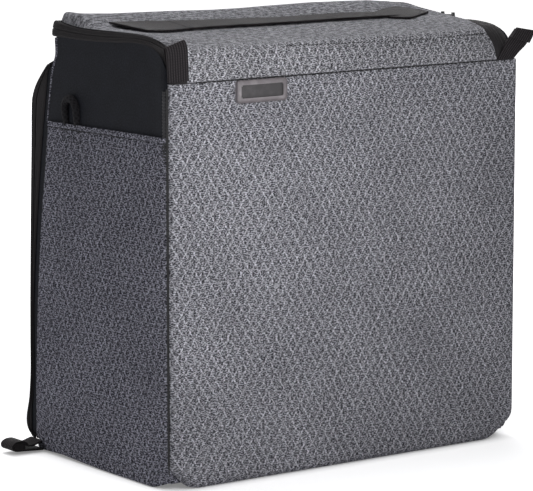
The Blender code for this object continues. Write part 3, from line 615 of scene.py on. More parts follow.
def front_surface(across, up):
    """across runs from -1 to 1 over the panel, up from 0 at the foot to 1 at the lid's seam."""
    side_end = CORNER_X + FLAT_REACH + ROLL_LENGTH
    s = graded((across + 1) / 2, -side_end, side_end, 18, 0.17)
    foot_end = CORNER_Z - FLAT_REACH - ROLL_LENGTH
    t = graded(up, foot_end, SEAM_Z + 1.6, 17, 0.15)
    a = np.maximum(np.abs(s) - CORNER_X, 0)
    b = np.maximum(CORNER_Z - t, 0)
    far = np.maximum(a, b)
    near = np.minimum(a, b)
    turn = np.where(far > 0, near / np.maximum(far, 1e-9) * math.pi / 4, 0)
    turn = np.where(b > a, math.pi / 2 - turn, turn)
    q = np.clip(far - FLAT_REACH, 0, ROLL_LENGTH)
    footed = turn / (math.pi / 2)
    reach, drop = (np.interp(q, SIDE_ROLL[:, 0], SIDE_ROLL[:, column]) * (1 - footed)
                   + np.interp(q, FOOT_ROLL[:, 0], FOOT_ROLL[:, column]) * footed for column in (1, 2))
    radial = np.minimum(far, FLAT_REACH) + reach
    x = np.where(far > 0, np.minimum(np.abs(s), CORNER_X) + radial * np.cos(turn), np.abs(s)) * np.sign(s)
    z = np.where(far > 0, np.maximum(t, CORNER_Z) - radial * np.sin(turn), t)
    y = -100.0 + drop
    seam = np.clip(t - (SEAM_Z - 1.1), 0, None)
    z = np.where(seam > 0, SEAM_Z - 1.1 + 1.1 * np.sin(np.minimum(seam / 1.1, math.pi / 2)), z)
    y = y + np.where(seam > 0, 1.1 * (1 - np.cos(np.minimum(seam / 1.1, 1.6))) + np.maximum(seam - 1.7, 0), 0)
    return soft_foot(x + 1.0 * ease(x, 90, 155), y, z)


def front_cover():
    piece = laid_sheet("front_cover", 150, 120, lambda u, v: front_surface(2 * u - 1, v))
    u, v = SHARES[piece.name]
    edge = np.minimum(np.minimum(u, 1 - u) / 0.2, np.minimum(v, 1 - v) / 0.2)
    swell(piece, np.where(edge < 1, 1.0, 0.0) + np.where((edge >= 1) & (edge < 1.25), 0.3, 0.0), 0.35, 1.6)

    def inner(u, v):
        x, y, z = front_surface(2 * u - 1, v)
        return np.clip(x, -164, 164), -91.2 + 0 * y, np.clip(z, 3.0, SEAM_Z)

    backed(piece, inner)
    finished(piece, "case", heather_grey, ["front_panel"], 60)
    lined(piece)
    return piece


front = front_cover()
print("front cover:", len(front.data.polygons), "faces")

# %% [markdown]
# ## Base, side walls and slip pockets
#
# The base is a flat foam pad with rounded edges. Each side wall is black cloth over foam. It swells just
# behind the front seam, and its top follows the zip band down the front corner. A slip pocket of heather
# cloth covers the lower part. Its hem is folded and stitched, and its foot rolls under.

# %% Base pad


def box_pad(name, low, high, rounding, body, look, stands_for, levels=6):
    """A foam pad with soft edges: a cube scaled to its place, then bevelled and given a flat map."""
    piece = cube_between(name, np.array(low, float), np.array(high, float))
    applied(piece, "BEVEL", width=rounding * MM, segments=levels)
    edited(piece, lambda: bpy.ops.uv.cube_project(cube_size=1.0))
    finished(piece, body, look, stands_for, 60)
    return piece


base = box_pad("base_cover", (-165.5, -92.5, 0.0), (165.5, 91.5, 9.0), 4.0, "case",
               heather_painted_shade, ["base_panel"])
set_points(base, np.column_stack(soft_foot(*points_of(base).T)))
print("base pad:", [round(value * 1000) for value in base.dimensions], "mm")

# %% Side walls
SIDES = (("left", -1), ("right", 1))
BAND_FOOT_LINE = np.array([
    (-100.5, 300), (-97.4, 305.4), (-95.2, 310.6), (-92.8, 315.4), (-88.6, 321), (-84, 324.4),
    (-78, 327), (-68, 329.7), (-56, 331), (-42, 331.2), (-22, 330.5), (0, 329.8), (60, 329.2),
])


WALL_FRONT = -95.9
WALL_REAR = 92.0
WALL_FOOT = 9.3


def rear_edge(z):
    """The case's rear edge leans forward towards the top."""
    return 93.0 - 35.0 * (z / 332.0) ** 2


def pad_edge(z):
    """The side pad's own rear edge: it is drawn in a little where the door's shoulder meets it."""
    return rear_edge(z) - 0.8 - 3.2 * np.exp(-((z - 316) / 9) ** 2)


def side_wall(word, side):
    def outer(u, v):
        y = graded(u, WALL_FRONT, WALL_REAR, 26, 0.3)
        top = np.interp(y, BAND_FOOT_LINE[:, 0], BAND_FOOT_LINE[:, 1]) + 1.5
        z = WALL_FOOT + (top - WALL_FOOT) * v
        y = WALL_FRONT + (y - WALL_FRONT) / (WALL_REAR - WALL_FRONT) * (pad_edge(z) - WALL_FRONT)
        x = np.interp(y, (-96, -95, -93.6, -91.5, -88, -80, -70, -55, 0, 95),
                      (164.2, 166.2, 167.2, 167.7, 167.8, 167.2, 166.8, 166.5, 166.2, 166.0))
        x = x - (1 - ease(z, 250, 272)) * ease(-y, 50, 80) * 1.6
        x = x - 1.6 * ease(y, pad_edge(z) - 2.2, pad_edge(z) - 0.2)
        x = x - (3.5 * ease(z, 296, 324) * ease(-y, 25, 62) if side > 0 else 0)
        return soft_foot(side * x, y, z)

    def inner(u, v):
        x, y, z = outer(u, v)
        return side * 153.8 + 0 * x, np.maximum(y, -90.7), z

    return foam_pad(f"{word}_side_pad", 90, 90, outer, inner, "case", f"{word}_side_wall", black_cloth)


def rear_piping(word, side):
    """Heather cloth that wraps the pad's rear edge above the pocket."""
    def wrap(u, v):
        z = 262.0 + 66.6 * v
        edge = pad_edge(z)
        wide = np.interp(z, (262, 290, 329), (1.0, 1.5, 3.4))
        y = np.where(u < 0.6, edge - wide * (1 - u / 0.6) - 0.4, edge - 0.4 + 1.6 * (u - 0.6) / 0.4)
        return side * np.where(u < 0.6, 166.25, 166.25 - 3.0 * ((u - 0.6) / 0.4) ** 2), y, z
    piece = laid_sheet(f"{word}_rear_piping", 8, 60, wrap)
    thickened(piece, 0.6)
    finished(piece, "case", heather_painted_shade)


for word, side in SIDES:
    print(side_wall(word, side).name, "made")
    rear_piping(word, side)

# %% Slip pockets


def hem_line(y):
    return np.interp(y, (-95.0, 68.0), (265.8, 263.6))


def pocket_surface(side, u, v):
    raw = graded(v, -3.5, 264.0, 9, 0.12)
    shifted = graded(u, 0.0, 1.0, 0.04, 0.12)
    rear = rear_edge(np.maximum(raw, 0)) - 4.2 - 0.8 * np.exp(-((raw - 223) / 25) ** 2)
    y = WALL_FRONT + shifted * (rear - WALL_FRONT)
    foot = np.interp(y, (-96, -88, -70, -16, 30, 49, 64, 70, 80, 85, 88.8),
                     (3.0, 1.2, 0.7, 0.7, 2.1, 2.9, 3.9, 4.8, 7.0, 9.4, 13.0))
    z = foot + (hem_line(y) - foot) * (np.maximum(raw, 0) / 264.0)
    under = np.clip(3.0 - raw, 0, 6.5)
    x = np.interp(y, (-96, -95.2, -94, -92, -88, -80, -60, -30, 0, 95),
                  (164.4, 166.6, 168.0, 168.8, 169.0, 168.8, 168.3, 168.0, 167.9, 167.8))
    hem = hem_line(y) - z
    x = x + 0.6 * (1 - ease(hem, 3.2, 4.4)) - 0.5 * np.exp(-((hem - 4.2) / 0.6) ** 2)
    x = x - 3.0 * (1 - np.cos(np.clip(under / 3.5, 0, 1.6)))
    x = x - 2.0 * ease(y, rear - 1.6, rear)
    return soft_foot(side * x, y, z)


def slip_pocket(word, side):
    piece = laid_sheet(f"{word}_slip_pocket", 120, 110, lambda u, v: pocket_surface(side, u, v))
    u, v = SHARES[piece.name]
    hold = np.where((u < 0.14) | (u > 0.9) | (v < 0.14) | (v > 0.95), 1.0, 0.0)
    swell(piece, hold, 0.25, 0.9)
    thickened(piece, 1.2)
    finished(piece, "case", heather_painted_shade, [f"{word}_pocket"], 60)
    return piece


for word, side in SIDES:
    print(slip_pocket(word, side).name, "made")

# %% [markdown]
# ## Zip band and lid
#
# The band is one strip of two tapes with the coil hidden in the slit between them. On the sides it lies
# level. Near the front it turns down the corner and twists, so that it faces forward where it meets the
# front seam. Its lower and upper edges are therefore drawn as two curves in space, and each tape is laid
# between them. The lower tape stays on the case and the upper one goes with the lid.

# %% The band's two edges
LOWER_LEFT = [
    (166.4, -97.4, 305.4), (167, -95.6, 310.6), (167.3, -93.2, 316.6), (167.4, -89.5, 323.4),
    (167.4, -86, 326.6), (167.3, -81.4, 329.2), (167.2, -72.8, 331.6), (167.1, -60, 332.5),
    (167, -46.7, 332.4), (166.9, -24.9, 331), (166.9, 0, 329.9), (166.9, 25, 329.5), (166.9, 54, 329.8),
    (166.3, 60, 329.8), (164, 63.2, 329.6), (156, 64, 329.4), (120, 63.8, 329.3), (60, 63.8, 329.2),
    (0, 63.8, 329.2),
]
UPPER_LEFT = [
    (153.5, -101, 305.4), (153.5, -101, 311), (154, -100.6, 317), (154.8, -98.6, 323),
    (156.2, -93.8, 327.6), (158.2, -86.5, 330.8), (160.6, -78.6, 334.2), (163.6, -68, 338.2),
    (165, -50, 339.3), (165.6, -24, 338.9), (165.8, 0, 338.5), (165.8, 25, 338.8), (165.6, 50, 340.8),
    (164.8, 57.5, 341.6), (163.2, 61.8, 341.6), (156, 63.2, 341.2), (120, 63.2, 340.8),
    (60, 63.2, 340.5), (0, 63.2, 340.3),
]
LOWER_RIGHT = [
    (166, -97.2, 305.4), (165.6, -95, 310.6), (164.8, -92, 316.4), (164.2, -88.4, 321.8),
    (164, -84, 325.6), (163.8, -79, 328), (163.6, -70, 330.2), (163.8, -58, 331.4), (164.2, -44, 331.6),
    (165.6, -22, 330.8), (166.6, 0, 329.9),
] + LOWER_LEFT[11:]
UPPER_RIGHT = [
    (144.4, -101, 305.4), (143.2, -101, 311), (141, -100.4, 317), (138.6, -99.2, 322),
    (136.6, -96.8, 327), (137.8, -90, 330.6), (143, -75, 332.6), (147.6, -60, 333.8),
    (153.6, -45, 333.8), (159, -25, 333.8), (161.8, -2, 335.2), (163, 22, 337.2), (164, 48, 339.4),
    (163.8, 57.5, 340.8), (162.4, 61.8, 341.2),
] + UPPER_LEFT[15:]
BAND_COUNT = 130


def paired(lower, upper, count):
    """Both edges sampled together, station by station."""
    both = smooth_line(np.hstack((np.array(lower), np.array(upper))), count)
    return both[:, :3], both[:, 3:]


flip = np.array((-1.0, 1.0, 1.0))
left_low, left_high = paired(LOWER_LEFT, UPPER_LEFT, BAND_COUNT)
right_low, right_high = paired(LOWER_RIGHT, UPPER_RIGHT, BAND_COUNT)
band_low = np.vstack((left_low * flip, right_low[-2::-1]))
band_high = np.vstack((left_high * flip, right_high[-2::-1]))
band_way = unit(np.gradient((band_low + band_high) / 2, axis=0))
band_out = unit(np.cross(band_way, band_high - band_low))
if band_out[len(band_out) // 4] @ np.array((-1.0, 0, 0)) < 0:
    band_out = -band_out
widths = np.linalg.norm(band_high - band_low, axis=1)
band_swell = np.interp(widths, (10.0, 24.0), (0.3, 2.6))
print("band:", len(band_low), "stations, width", widths.min().round(1), "to", widths.max().round(1), "mm")


def band_point(v, w, depth):
    """v runs along the whole band, w from its lower to its upper edge, depth inward."""
    place = v * (len(band_low) - 1)
    index = np.arange(len(band_low))
    low, high, out = (sampled(place, index, table) for table in (band_low, band_high, band_out))
    puff = np.interp(place, index, band_swell) * 4 * w * (1 - w)
    edge = np.clip(1 - np.minimum(w, 1 - w) / 0.09, 0, 1)
    slit = np.exp(-((w - 0.5) / 0.035) ** 2)
    rib = 0.14 * np.cos(w * 2 * math.pi * 8)
    lift = puff - 0.9 * edge ** 2 - 0.7 * slit + rib - depth
    return (low + (high - low) * w[:, None] + out * lift[:, None]).T


def band_tape(name, start, end, body, slot):
    count = len(band_low) - 1
    piece = laid_sheet(name, 20, count, lambda u, v: band_point(v, start + (end - start) * u, 0 * u))
    backed(piece, lambda u, v: band_point(v, start + (end - start) * u, 2.6 + 0 * u))
    finished(piece, body, zip_tape, [slot], 50)


band_tape("lid_zip_tape_below", 0.0, 0.494, "case", "lid_zip_lower_tape")
band_tape("lid_zip_tape_above", 0.506, 1.0, "lid", "lid_zip_upper_tape")

# %% Lid
LID_MIDDLE = [
    (-99, 305.9), (-100.6, 306.7), (-101, 310), (-101.2, 318), (-100.6, 324.6), (-98, 328.4),
    (-92, 330.7), (-65, 333.4), (-30, 335.8), (-10, 337.4), (4.3, 339.4), (19, 343.2), (33, 345.4),
    (46, 344.6), (54.5, 342.4), (60, 340.4), (61.5, 339.6),
]
LID_LEFT = [
    (153, -99.6, 305.9), (153.2, -100.6, 306.7), (153.2, -100.8, 310), (153.6, -100.4, 317.4),
    (154.4, -98.4, 323), (156, -93.4, 327.6), (158.2, -86, 330.9), (163.6, -66, 338.5),
    (165.5, -30, 339.3), (165.7, -10, 339), (165.8, 4, 338.9), (165.8, 19, 339), (165.6, 31, 339.6),
    (164.8, 44, 340.8), (163, 52, 341.6), (159, 58.4, 341.7), (155, 60.8, 341.4),
]
LID_RIGHT = [
    (143.8, -99.6, 305.9), (143.8, -100.6, 306.7), (142.9, -100.8, 310), (140.9, -100.2, 317.4),
    (138.6, -98.8, 322.4), (136.8, -96.2, 327.2), (138.2, -89.6, 330.8), (146.8, -62, 334.4),
    (157.8, -30, 335), (161.2, -10, 336.3), (162.6, 4, 337.4), (163.6, 19, 338.7), (164.2, 31, 339.8),
    (164.2, 44, 340.6), (162.2, 52, 341), (158.6, 58.4, 341.4), (155, 60.8, 341.4),
]
CREST = ((-165, -160, -155, -126, -70, -31, -2, 26, 67, 99, 125, 150, 165),
         (1.5, 2.6, 2.6, 1.2, 0.4, -0.6, -0.6, 0, 0.6, 0.2, -0.4, -3.0, -3.0))
MIDDLE_POINTS = [(0.0, y, z) for y, z in LID_MIDDLE]
LID_ROWS = 121
left_middle, left_rim = paired(MIDDLE_POINTS, LID_LEFT, LID_ROWS)
right_middle, right_rim = paired(MIDDLE_POINTS, LID_RIGHT, LID_ROWS)


def lid_surface(u, v):
    """The lid's cloth: u runs from left to right, v from the front seam over the top to the rear."""
    side = 2 * u - 1
    across = np.sign(side) * np.interp(np.abs(side), (0, 0.7, 1), (0, 0.86, 1))
    lean = ease(side, -1.0, 1.0)[:, None]
    index = np.arange(LID_ROWS)
    place = v * (LID_ROWS - 1)
    middle = sampled(place, index, left_middle) * (1 - lean) + sampled(place, index, right_middle) * lean
    edge = np.where(side[:, None] < 0, sampled(place, index, left_rim), sampled(place, index, right_rim))
    x = across * edge[:, 0]
    y = middle[:, 1] + (edge[:, 1] - middle[:, 1]) * np.abs(across) ** 8
    back = ease(y, -10, 25)
    inward = (1 - np.abs(across)) * edge[:, 0]
    flat_edge = 1 - ease(inward, 0, np.where(side < 0, 60, 30))
    round_edge = np.clip(1 - inward / np.where(side < 0, 5.5, 14), 0, 1) ** 3
    fall = flat_edge * (1 - back) + round_edge * back
    z = middle[:, 2] + (edge[:, 2] - middle[:, 2]) * fall
    crown = ease(y, -60, 20) * (1 - ease(y, 50, 60))
    z = z + crown * np.interp(x, *CREST) * (1 - fall)
    corner = np.exp(-((x + 160) / 9) ** 2 - ((y - 53) / 8) ** 2)
    z = z + 3.2 * corner * np.clip(inward / 2.0, 0, 1) * np.clip((61 - y) / 3, 0, 1)
    return x, y, z


def lid_cover():
    piece = laid_sheet("lid_cover", 140, 120, lid_surface)
    u, v = SHARES[piece.name]
    hold = np.where((u < 0.06) | (u > 0.94) | (v < 0.16) | (v > 0.95), 1.0, 0.25)
    swell(piece, hold, 0.5, 1.5)

    def inner(u, v):
        x, y, z = lid_surface(u, v)
        turned = ease(y, -99.5, -84.0)
        return (np.clip(x, -153.0, 153.0), np.clip(y + 9.0 * (1 - turned), -91.0, 57.5),
                np.minimum(z - 4.0 * turned, 333.1))

    backed(piece, inner)
    finished(piece, "lid", heather_lid, ["top_lid"], 60)
    lined(piece)
    return piece


lid = lid_cover()
LID_TOP = points_of(lid)[:len(SHARES["lid_cover"][0])]
LID_TOP = LID_TOP[LID_TOP[:, 2] > 331.0]
print("lid cover:", len(lid.data.polygons), "faces")


def on_lid(x, y, lift):
    """A point above the lid's cloth, weighed from its nearest grid points."""
    gap = np.hypot(LID_TOP[:, 0] - x, LID_TOP[:, 1] - y)
    near = np.argsort(gap)[:4]
    weight = 1 / (gap[near] + 0.05)
    return x, y, float((LID_TOP[near, 2] * weight).sum() / weight.sum()) + lift

# %% [markdown]
# ## Tabs, handle and cord loops
# A tab is a short loop of webbing sewn into the end of a zip, and the carry handle is a flat band sewn to
# the lid at both ends. Webbing keeps its width and bends only along its length, so each band is laid
# through pairs of points, one for each of its edges, and then gets its thickness and soft corners. A
# simulation would only make such a stiff band wavy. The cord loops are round, so they are tubes. The
# handle's grip rises off the lid while its ends stay sewn: the grip has a body of its own, the ends go
# with the lid, and the two runs between them are left without a body.

# %% Ribbons of webbing


def ribbon(name, stations, thickness, body, look, stands_for=(), steps=10, count=40, closed_curve=True):
    """A band through stations of (left point, right point), thickened on both sides of its middle."""
    pairs = np.array([np.hstack((left, right)) for left, right in stations], float)
    line = smooth_line(pairs, count + 1) if closed_curve else pairs

    def place(u, v):
        index = np.round(v * count).astype(int)
        return (line[index, :3] + (line[index, 3:] - line[index, :3]) * u[:, None]).T

    piece = laid_sheet(name, steps, count, place)
    applied(piece, "SOLIDIFY", thickness=thickness * MM, offset=0)
    applied(piece, "BEVEL", width=thickness * 0.3 * MM, segments=2, limit_method="ANGLE",
            angle_limit=math.radians(60))
    face_out(piece)
    finished(piece, body, look, stands_for, 45)
    return piece


def tube(name, line, radius, body, look, stands_for=(), sides=12):
    """A closed tube along a line; radius is a number or one per point."""
    line = np.asarray(line, float)
    count = len(line) - 1
    radius = np.broadcast_to(radius, (len(line),)).copy()
    way = unit(np.gradient(line, axis=0))
    first = unit(np.cross(way, (0.31, 0.23, 0.92)))
    second = np.cross(way, first)

    def place(u, v):
        index = np.round(v * count).astype(int)
        angle = 2 * math.pi * u
        ring = first[index] * np.cos(angle)[:, None] + second[index] * np.sin(angle)[:, None]
        return (line[index] + ring * radius[index][:, None]).T

    piece = laid_sheet(name, sides, count, place)
    weld(piece)
    choose(piece)
    bpy.ops.object.mode_set(mode="EDIT")
    bpy.ops.mesh.select_all(action="DESELECT")
    bpy.ops.mesh.select_non_manifold()
    bpy.ops.mesh.edge_face_add()
    bpy.ops.object.mode_set(mode="OBJECT")
    face_out(piece)
    finished(piece, body, look, stands_for, 60)
    return piece


def thread(name, line, pitch, radius, into, body):
    """A row of stitches: a thin tube that dips under the cloth between one stitch and the next."""
    line = np.asarray(line, float)
    length = np.linalg.norm(np.diff(line, axis=0), axis=1).sum()
    count = max(2, round(length / pitch))
    path = smooth_line(line, count * 6 + 1)
    dip = radius * 1.5 * (1 - np.cos(2 * math.pi * np.arange(len(path)) / 6))
    tube(name, path + np.array(into) * dip[:, None], radius, body, thread_and_seam_shadow, sides=6)


# %% Tabs
LEFT_TAB = [((-171.2, -101.4, 307.4), (-152.4, -101.4, 307.6)),
            ((-172.2, -102.2, 316.0), (-153.4, -102.2, 317.0)),
            ((-173.4, -102.8, 326.6), (-154.4, -102.8, 330.6)),
            ((-174.4, -102.9, 332.0), (-156.4, -102.9, 337.0)),
            ((-174.8, -101.9, 332.8), (-157.0, -101.9, 337.9)),
            ((-174.4, -101.0, 331.8), (-156.6, -101.0, 336.6)),
            ((-173.0, -100.9, 322.0), (-154.6, -100.9, 324.0))]
RIGHT_TAB = [((144.2, -101.4, 306.2), (160.6, -101.4, 306.2)),
             ((148.6, -102.0, 314.6), (166.0, -102.0, 311.4)),
             ((154.0, -102.6, 322.6), (172.4, -102.6, 316.8)),
             ((160.6, -103.0, 330.0), (178.8, -103.0, 325.6))]
RIGHT_FOLD = [((154.8, -104.6, 323.4), (173.6, -104.6, 318.0)),
              ((161.4, -105.0, 330.8), (179.4, -105.0, 327.6))]
LOW_TAB = [(166.6, 8.7), (170.0, 8.1), (176.0, 6.5), (180.4, 6.6), (182.4, 9.0), (186.0, 10.4),
           (191.0, 10.2), (194.4, 8.2), (194.4, 5.4), (191.4, 3.8), (184.0, 3.3), (174.0, 2.6), (166.6, 2.1)]
LOW_FOLD = ((183.4, 6.6), (193.2, 6.8))
for word, stations, thickness in (("left", LEFT_TAB, 0.9), ("right", RIGHT_TAB, 1.6)):
    ribbon(f"{word}_tab_web", stations, thickness, f"{word}_tab", webbing_band,
           [f"{word}_grab_tab"])
ribbon("right_tab_fold", RIGHT_FOLD, 2.8, "right_tab", webbing_band)
for word, side in SIDES:
    body, slot = f"{word}_low_tab", f"lower_{word}_tab"
    loop = [((side * x, 79.0, z), (side * x, 96.6, z)) for x, z in LOW_TAB]
    ribbon(f"lower_{word}_tab_web", loop, 1.5, body, webbing_band, [slot], count=90)
    fold = [((side * x, 79.2, z), (side * x, 96.4, z)) for x, z in LOW_FOLD]
    ribbon(f"lower_{word}_tab_fold", fold, 4.8, body, webbing_band)
print("tabs made")

# %% Carry handle
GRIP = [
    (-100, -28, 2.6), (-90, -27.4, 2), (-60, -26, 0.6), (0, -25.6, -2), (60, -26.6, -5),
    (92, -27.4, -8), (104, -28, -7),
]
GRIP_LIFT = 1.7
WEB_THICKNESS = 1.6
GRIP_LINE = smooth_line([np.hstack((on_lid(x, front_y, GRIP_LIFT), on_lid(x, rear_y, GRIP_LIFT)))
                         for x, front_y, rear_y in GRIP], 61)
BLENDED_RUNS = (("grip_left_run", 0, 16, -0.096, -0.050), ("grip_right_run", 44, 60, 0.100, 0.052))
HANDLE_ENDS = {
    "left": (1.5, [(-149, -42.0, 8.4), (-132, -38.0, 6.8), (-114, -31.0, 4.8), (-95, -27.0, 2.6)]),
    "right": (1.1, [(149, -10.0, 4.0), (140, -16.5, 8.6), (131, -22.5, 9.6), (118, -32.0, 6.0),
                    (106, -37.5, 0.0), (94, -30.0, -7.0)]),
}


def grip_run(name, first, last, body, stands_for=()):
    """The part of the grip between two of its stations."""
    rows = [(row[:3], row[3:]) for row in GRIP_LINE[first:last + 1]]
    return ribbon(name, rows, WEB_THICKNESS, body, handle_band, stands_for,
                  count=last - first, closed_curve=False)


grip_run("grip_web", 15, 45, "handle", ["handle_grip"])
for name, first, last, start_x, end_x in BLENDED_RUNS:
    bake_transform(grip_run(name, first, last, None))
for word, (lift, stations) in HANDLE_ENDS.items():
    pairs = [(on_lid(x, front_y, lift), on_lid(x, rear_y, lift)) for x, front_y, rear_y in stations]
    ribbon(f"handle_{word}_web", pairs, WEB_THICKNESS, "lid", handle_band,
           [f"handle_{word}_end"])
print("handle made")

# %% Cord loops
LOOP_Y = 33.8
LOOP_HALF = 7.8
CORD_RADIUS = 3.0
for word, side in SIDES:
    arch = [(side * 165.4, LOOP_Y - LOOP_HALF + 0.6, 262.0), (side * 166.8, LOOP_Y - LOOP_HALF, 269.0)]
    for step in range(13):
        angle = math.pi * (1 - step / 12)
        arch.append((side * (167.8 + 0.7 * math.sin(angle)), LOOP_Y + LOOP_HALF * math.cos(angle),
                     276.0 + LOOP_HALF * math.sin(angle)))
    arch += [(side * 166.8, LOOP_Y + LOOP_HALF, 269.0), (side * 165.4, LOOP_Y + LOOP_HALF - 0.6, 262.0)]
    line = smooth_line(arch, 51)
    slot = f"{word}_cord_loop"
    loop = tube(f"{word}_loop_cord", line, CORD_RADIUS, f"{word}_loop", cord_braid, [slot], 16)
    tuple(value * MM for value in line[0])
    [tuple(point * MM) for point in line]

# %% [markdown]
# ## Seams and stitches
#
# The seams hold the cloth to the foam and show as dark lines. A real stitch dives into the cloth and comes
# up again, so each row is one thin tube that dips below the surface between two stitches. The upright
# seams carry a near-black cord in the groove, which paints the groove's shadow, and the side wall puckers
# along the sewn edge behind it, in a paler black that paints the highlight on its puckers.

# %% Seams and stitches
FLAP_Z = (306.0, 318.0, 324.6, 328.4, 330.7)
FLAP_Y = (-101.0, -101.2, -100.6, -98.0, -92.0)


def on_flap(x, z):
    """A point on the lid's front flap."""
    return x, np.interp(z, FLAP_Z, FLAP_Y) - 0.75, z


CREASE = ((-60, 328.4), (-20, 327.4), (32, 326.4), (75, 326.2), (109, 326.8), (132, 327.2))
thread("lid_crease_thread", [on_flap(x, z) for x, z in CREASE], 3.4, 0.36, (0, 1, 0), "lid")
thread("front_seam_thread", [(x, -100.3, 305.6) for x in (-145, 0, 145)], 4.2, 0.55, (0, 1, 0), "case")
BOX = np.array([(45.0, 259.6), (20.0, 259.6), (20.0, 250.8), (45.0, 250.8), (45.0, 259.6)])
BOX_LINES = [*zip(BOX, BOX[1:]), (BOX[0], BOX[2]), (BOX[1], BOX[3])]
bead = np.arange(241)
puckers = 2.6 + 0.3 * np.cos(2 * math.pi * bead / 8) - 1.6 * np.clip(1 - bead / 90, 0, 1)
for word, side in SIDES:
    inward, pocket, wall = (-side, 0, 0), f"{word}_pocket", f"{word}_side_wall"
    hem = [(side * 168.35, y, hem_line(y) - 4.2) for y in (-93, -60, -30, 0, 30, 64)]
    thread(f"{word}_hem_thread", hem, 3.4, 0.3, inward, "case")
    for number, (start, end) in enumerate(BOX_LINES):
        line = [(side * 168.15, *(start + (end - start) * share)) for share in (0, 0.5, 1)]
        thread(f"{word}_box_thread_{number}", line, 2.6, 0.34, inward, "case")
    seam = [soft_foot(side * 167.5, -95.1, z) for z in (9.0, 13.0, 18.0, 26.0, 80.0, 160.0, 240.0, 302.0)]
    thinner_foot = np.interp(np.arange(80), (0, 3), (0.3, 0.9))
    # The seam's cord is near black: it paints the shadow in the seam's groove.
    tube(f"{word}_seam_shadow_cord", smooth_line(seam, 80), thinner_foot, "case", thread_and_seam_shadow, sides=8)
    # The welt's paler black paints the highlight that its puckers catch.
    welt = smooth_line([(side * 166.4, -92.0, z) for z in (228.0, 250.0, 275.0, 300.0)], 241)
    tube(f"{word}_seam_welt", welt, puckers, "case", welt_painted_shine, sides=16)
print("seams and stitches made")

# %% [markdown]
# ## Rear door and its zip
#
# The door is a foam pad hinged at its foot. Seen from the side its outer face leans forward a little and
# turns over a soft shoulder to the top. The zip runs up both sides and across the top, between a tape on
# the case and a tape on the door. Between the side wall and the case's tape the cloth sinks into a dark
# channel.

# %% The door's outline from the side
DOOR_POINTS = [
    (93, 9.5), (97.6, 10.4), (101.6, 12.2), (104.6, 15.4), (106, 20.7), (105.2, 27), (102.6, 35.6),
    (100.4, 46), (99.2, 60), (98.6, 110), (97.2, 158), (95.8, 200), (94.2, 240), (93.4, 270),
    (92.8, 277.3), (90.6, 283.6), (86.8, 289.8), (81, 296.4), (74.2, 303), (66.8, 308.8), (59.6, 313.6),
]
DOOR = smooth_line(DOOR_POINTS, 260)
DOOR_RUN = run_along(DOOR)
DOOR_WAY = unit(np.gradient(DOOR, axis=0))
DOOR_REACH = 163.3
DOOR_LENGTH = DOOR_RUN[-1]
CHAIN_RUN = DOOR_LENGTH - 9
RIM_RUN = CHAIN_RUN - 5.3
SLIT = 1.4
PANEL_END = RIM_RUN - SLIT


def on_door(run, inward=0.0):
    """y and z of the door's outer line at a run from its foot, moved inward."""
    y, z, along_y, along_z = (np.interp(run, DOOR_RUN, column) for column in (*DOOR.T, *DOOR_WAY.T))
    return y - along_z * inward, z + along_y * inward


def door_pad():
    def outer(u, v):
        x = graded(u, DOOR_REACH, -DOOR_REACH, 12, 0.14)
        rim = DOOR_REACH - np.abs(x)
        run = graded(v, 0.0, PANEL_END, 8, 0.1)
        edge = np.clip(1 - rim / 5.0, 0, 1)
        foot = np.clip(1 - run / 5.0, 0, 1)
        sink = 3.4 * (1 - np.sqrt(1 - edge ** 2)) + 3.0 * (1 - np.sqrt(1 - foot ** 2))
        seam = 0.9 * np.exp(-((rim - 11.0) / 0.8) ** 2)
        y, z = on_door(run, sink + seam)
        return x, y, z

    def inner(u, v):
        x, y, z = outer(u, v)
        y, z = on_door(graded(v, 0.0, PANEL_END, 8, 0.1), 6.9)
        return np.clip(x, -163.0, 163.0), y, z

    piece = laid_sheet("door_pad", 90, 110, outer)
    turn_outward(piece, (0, 0, 150))
    u, v = SHARES[piece.name]
    hold = np.where((u < 0.2) | (u > 0.8) | (v < 0.14) | (v > 0.88), 1.0, 0.1)
    swell(piece, hold, 0.4, 1.4)
    backed(piece, inner)
    finished(piece, "door", black_cloth, ["rear_door"], 60)


door_pad()

# %% The door's zip
stations = np.concatenate((np.linspace(0.8, 40, 9), np.linspace(60, DOOR_LENGTH - 60, 9),
                           np.linspace(DOOR_LENGTH - 50, DOOR_LENGTH - 11, 8)))
rim_y, rim_z = on_door(stations)
wall_y = rear_edge(rim_z)
chain_y = wall_y + (rim_y - wall_y) * 0.74
tape_y = np.minimum(wall_y + 5.6, chain_y - 0.9)
top_in = on_door(DOOR_LENGTH)
top_chain = on_door(CHAIN_RUN)
top_below = on_door(CHAIN_RUN - SLIT)
top_rim = on_door(RIM_RUN)


def round_the_door(inside, outside, top_inside, top_outside, reach):
    """Stations up one side of the door, across its top and down the other side."""
    up = [((-reach, low, z), (-reach, high, z)) for low, high, z in zip(inside, outside, rim_z)]
    across = [((-x, *top_inside), (-x, *top_outside)) for x in (156, 150, 100, 50, 0)]
    half = up + across
    narrower = 0.99
    flipped = [((-low[0] * narrower, *low[1:]), (-high[0] * narrower, *high[1:]))
               for low, high in reversed(half[:-1])]
    return half + flipped


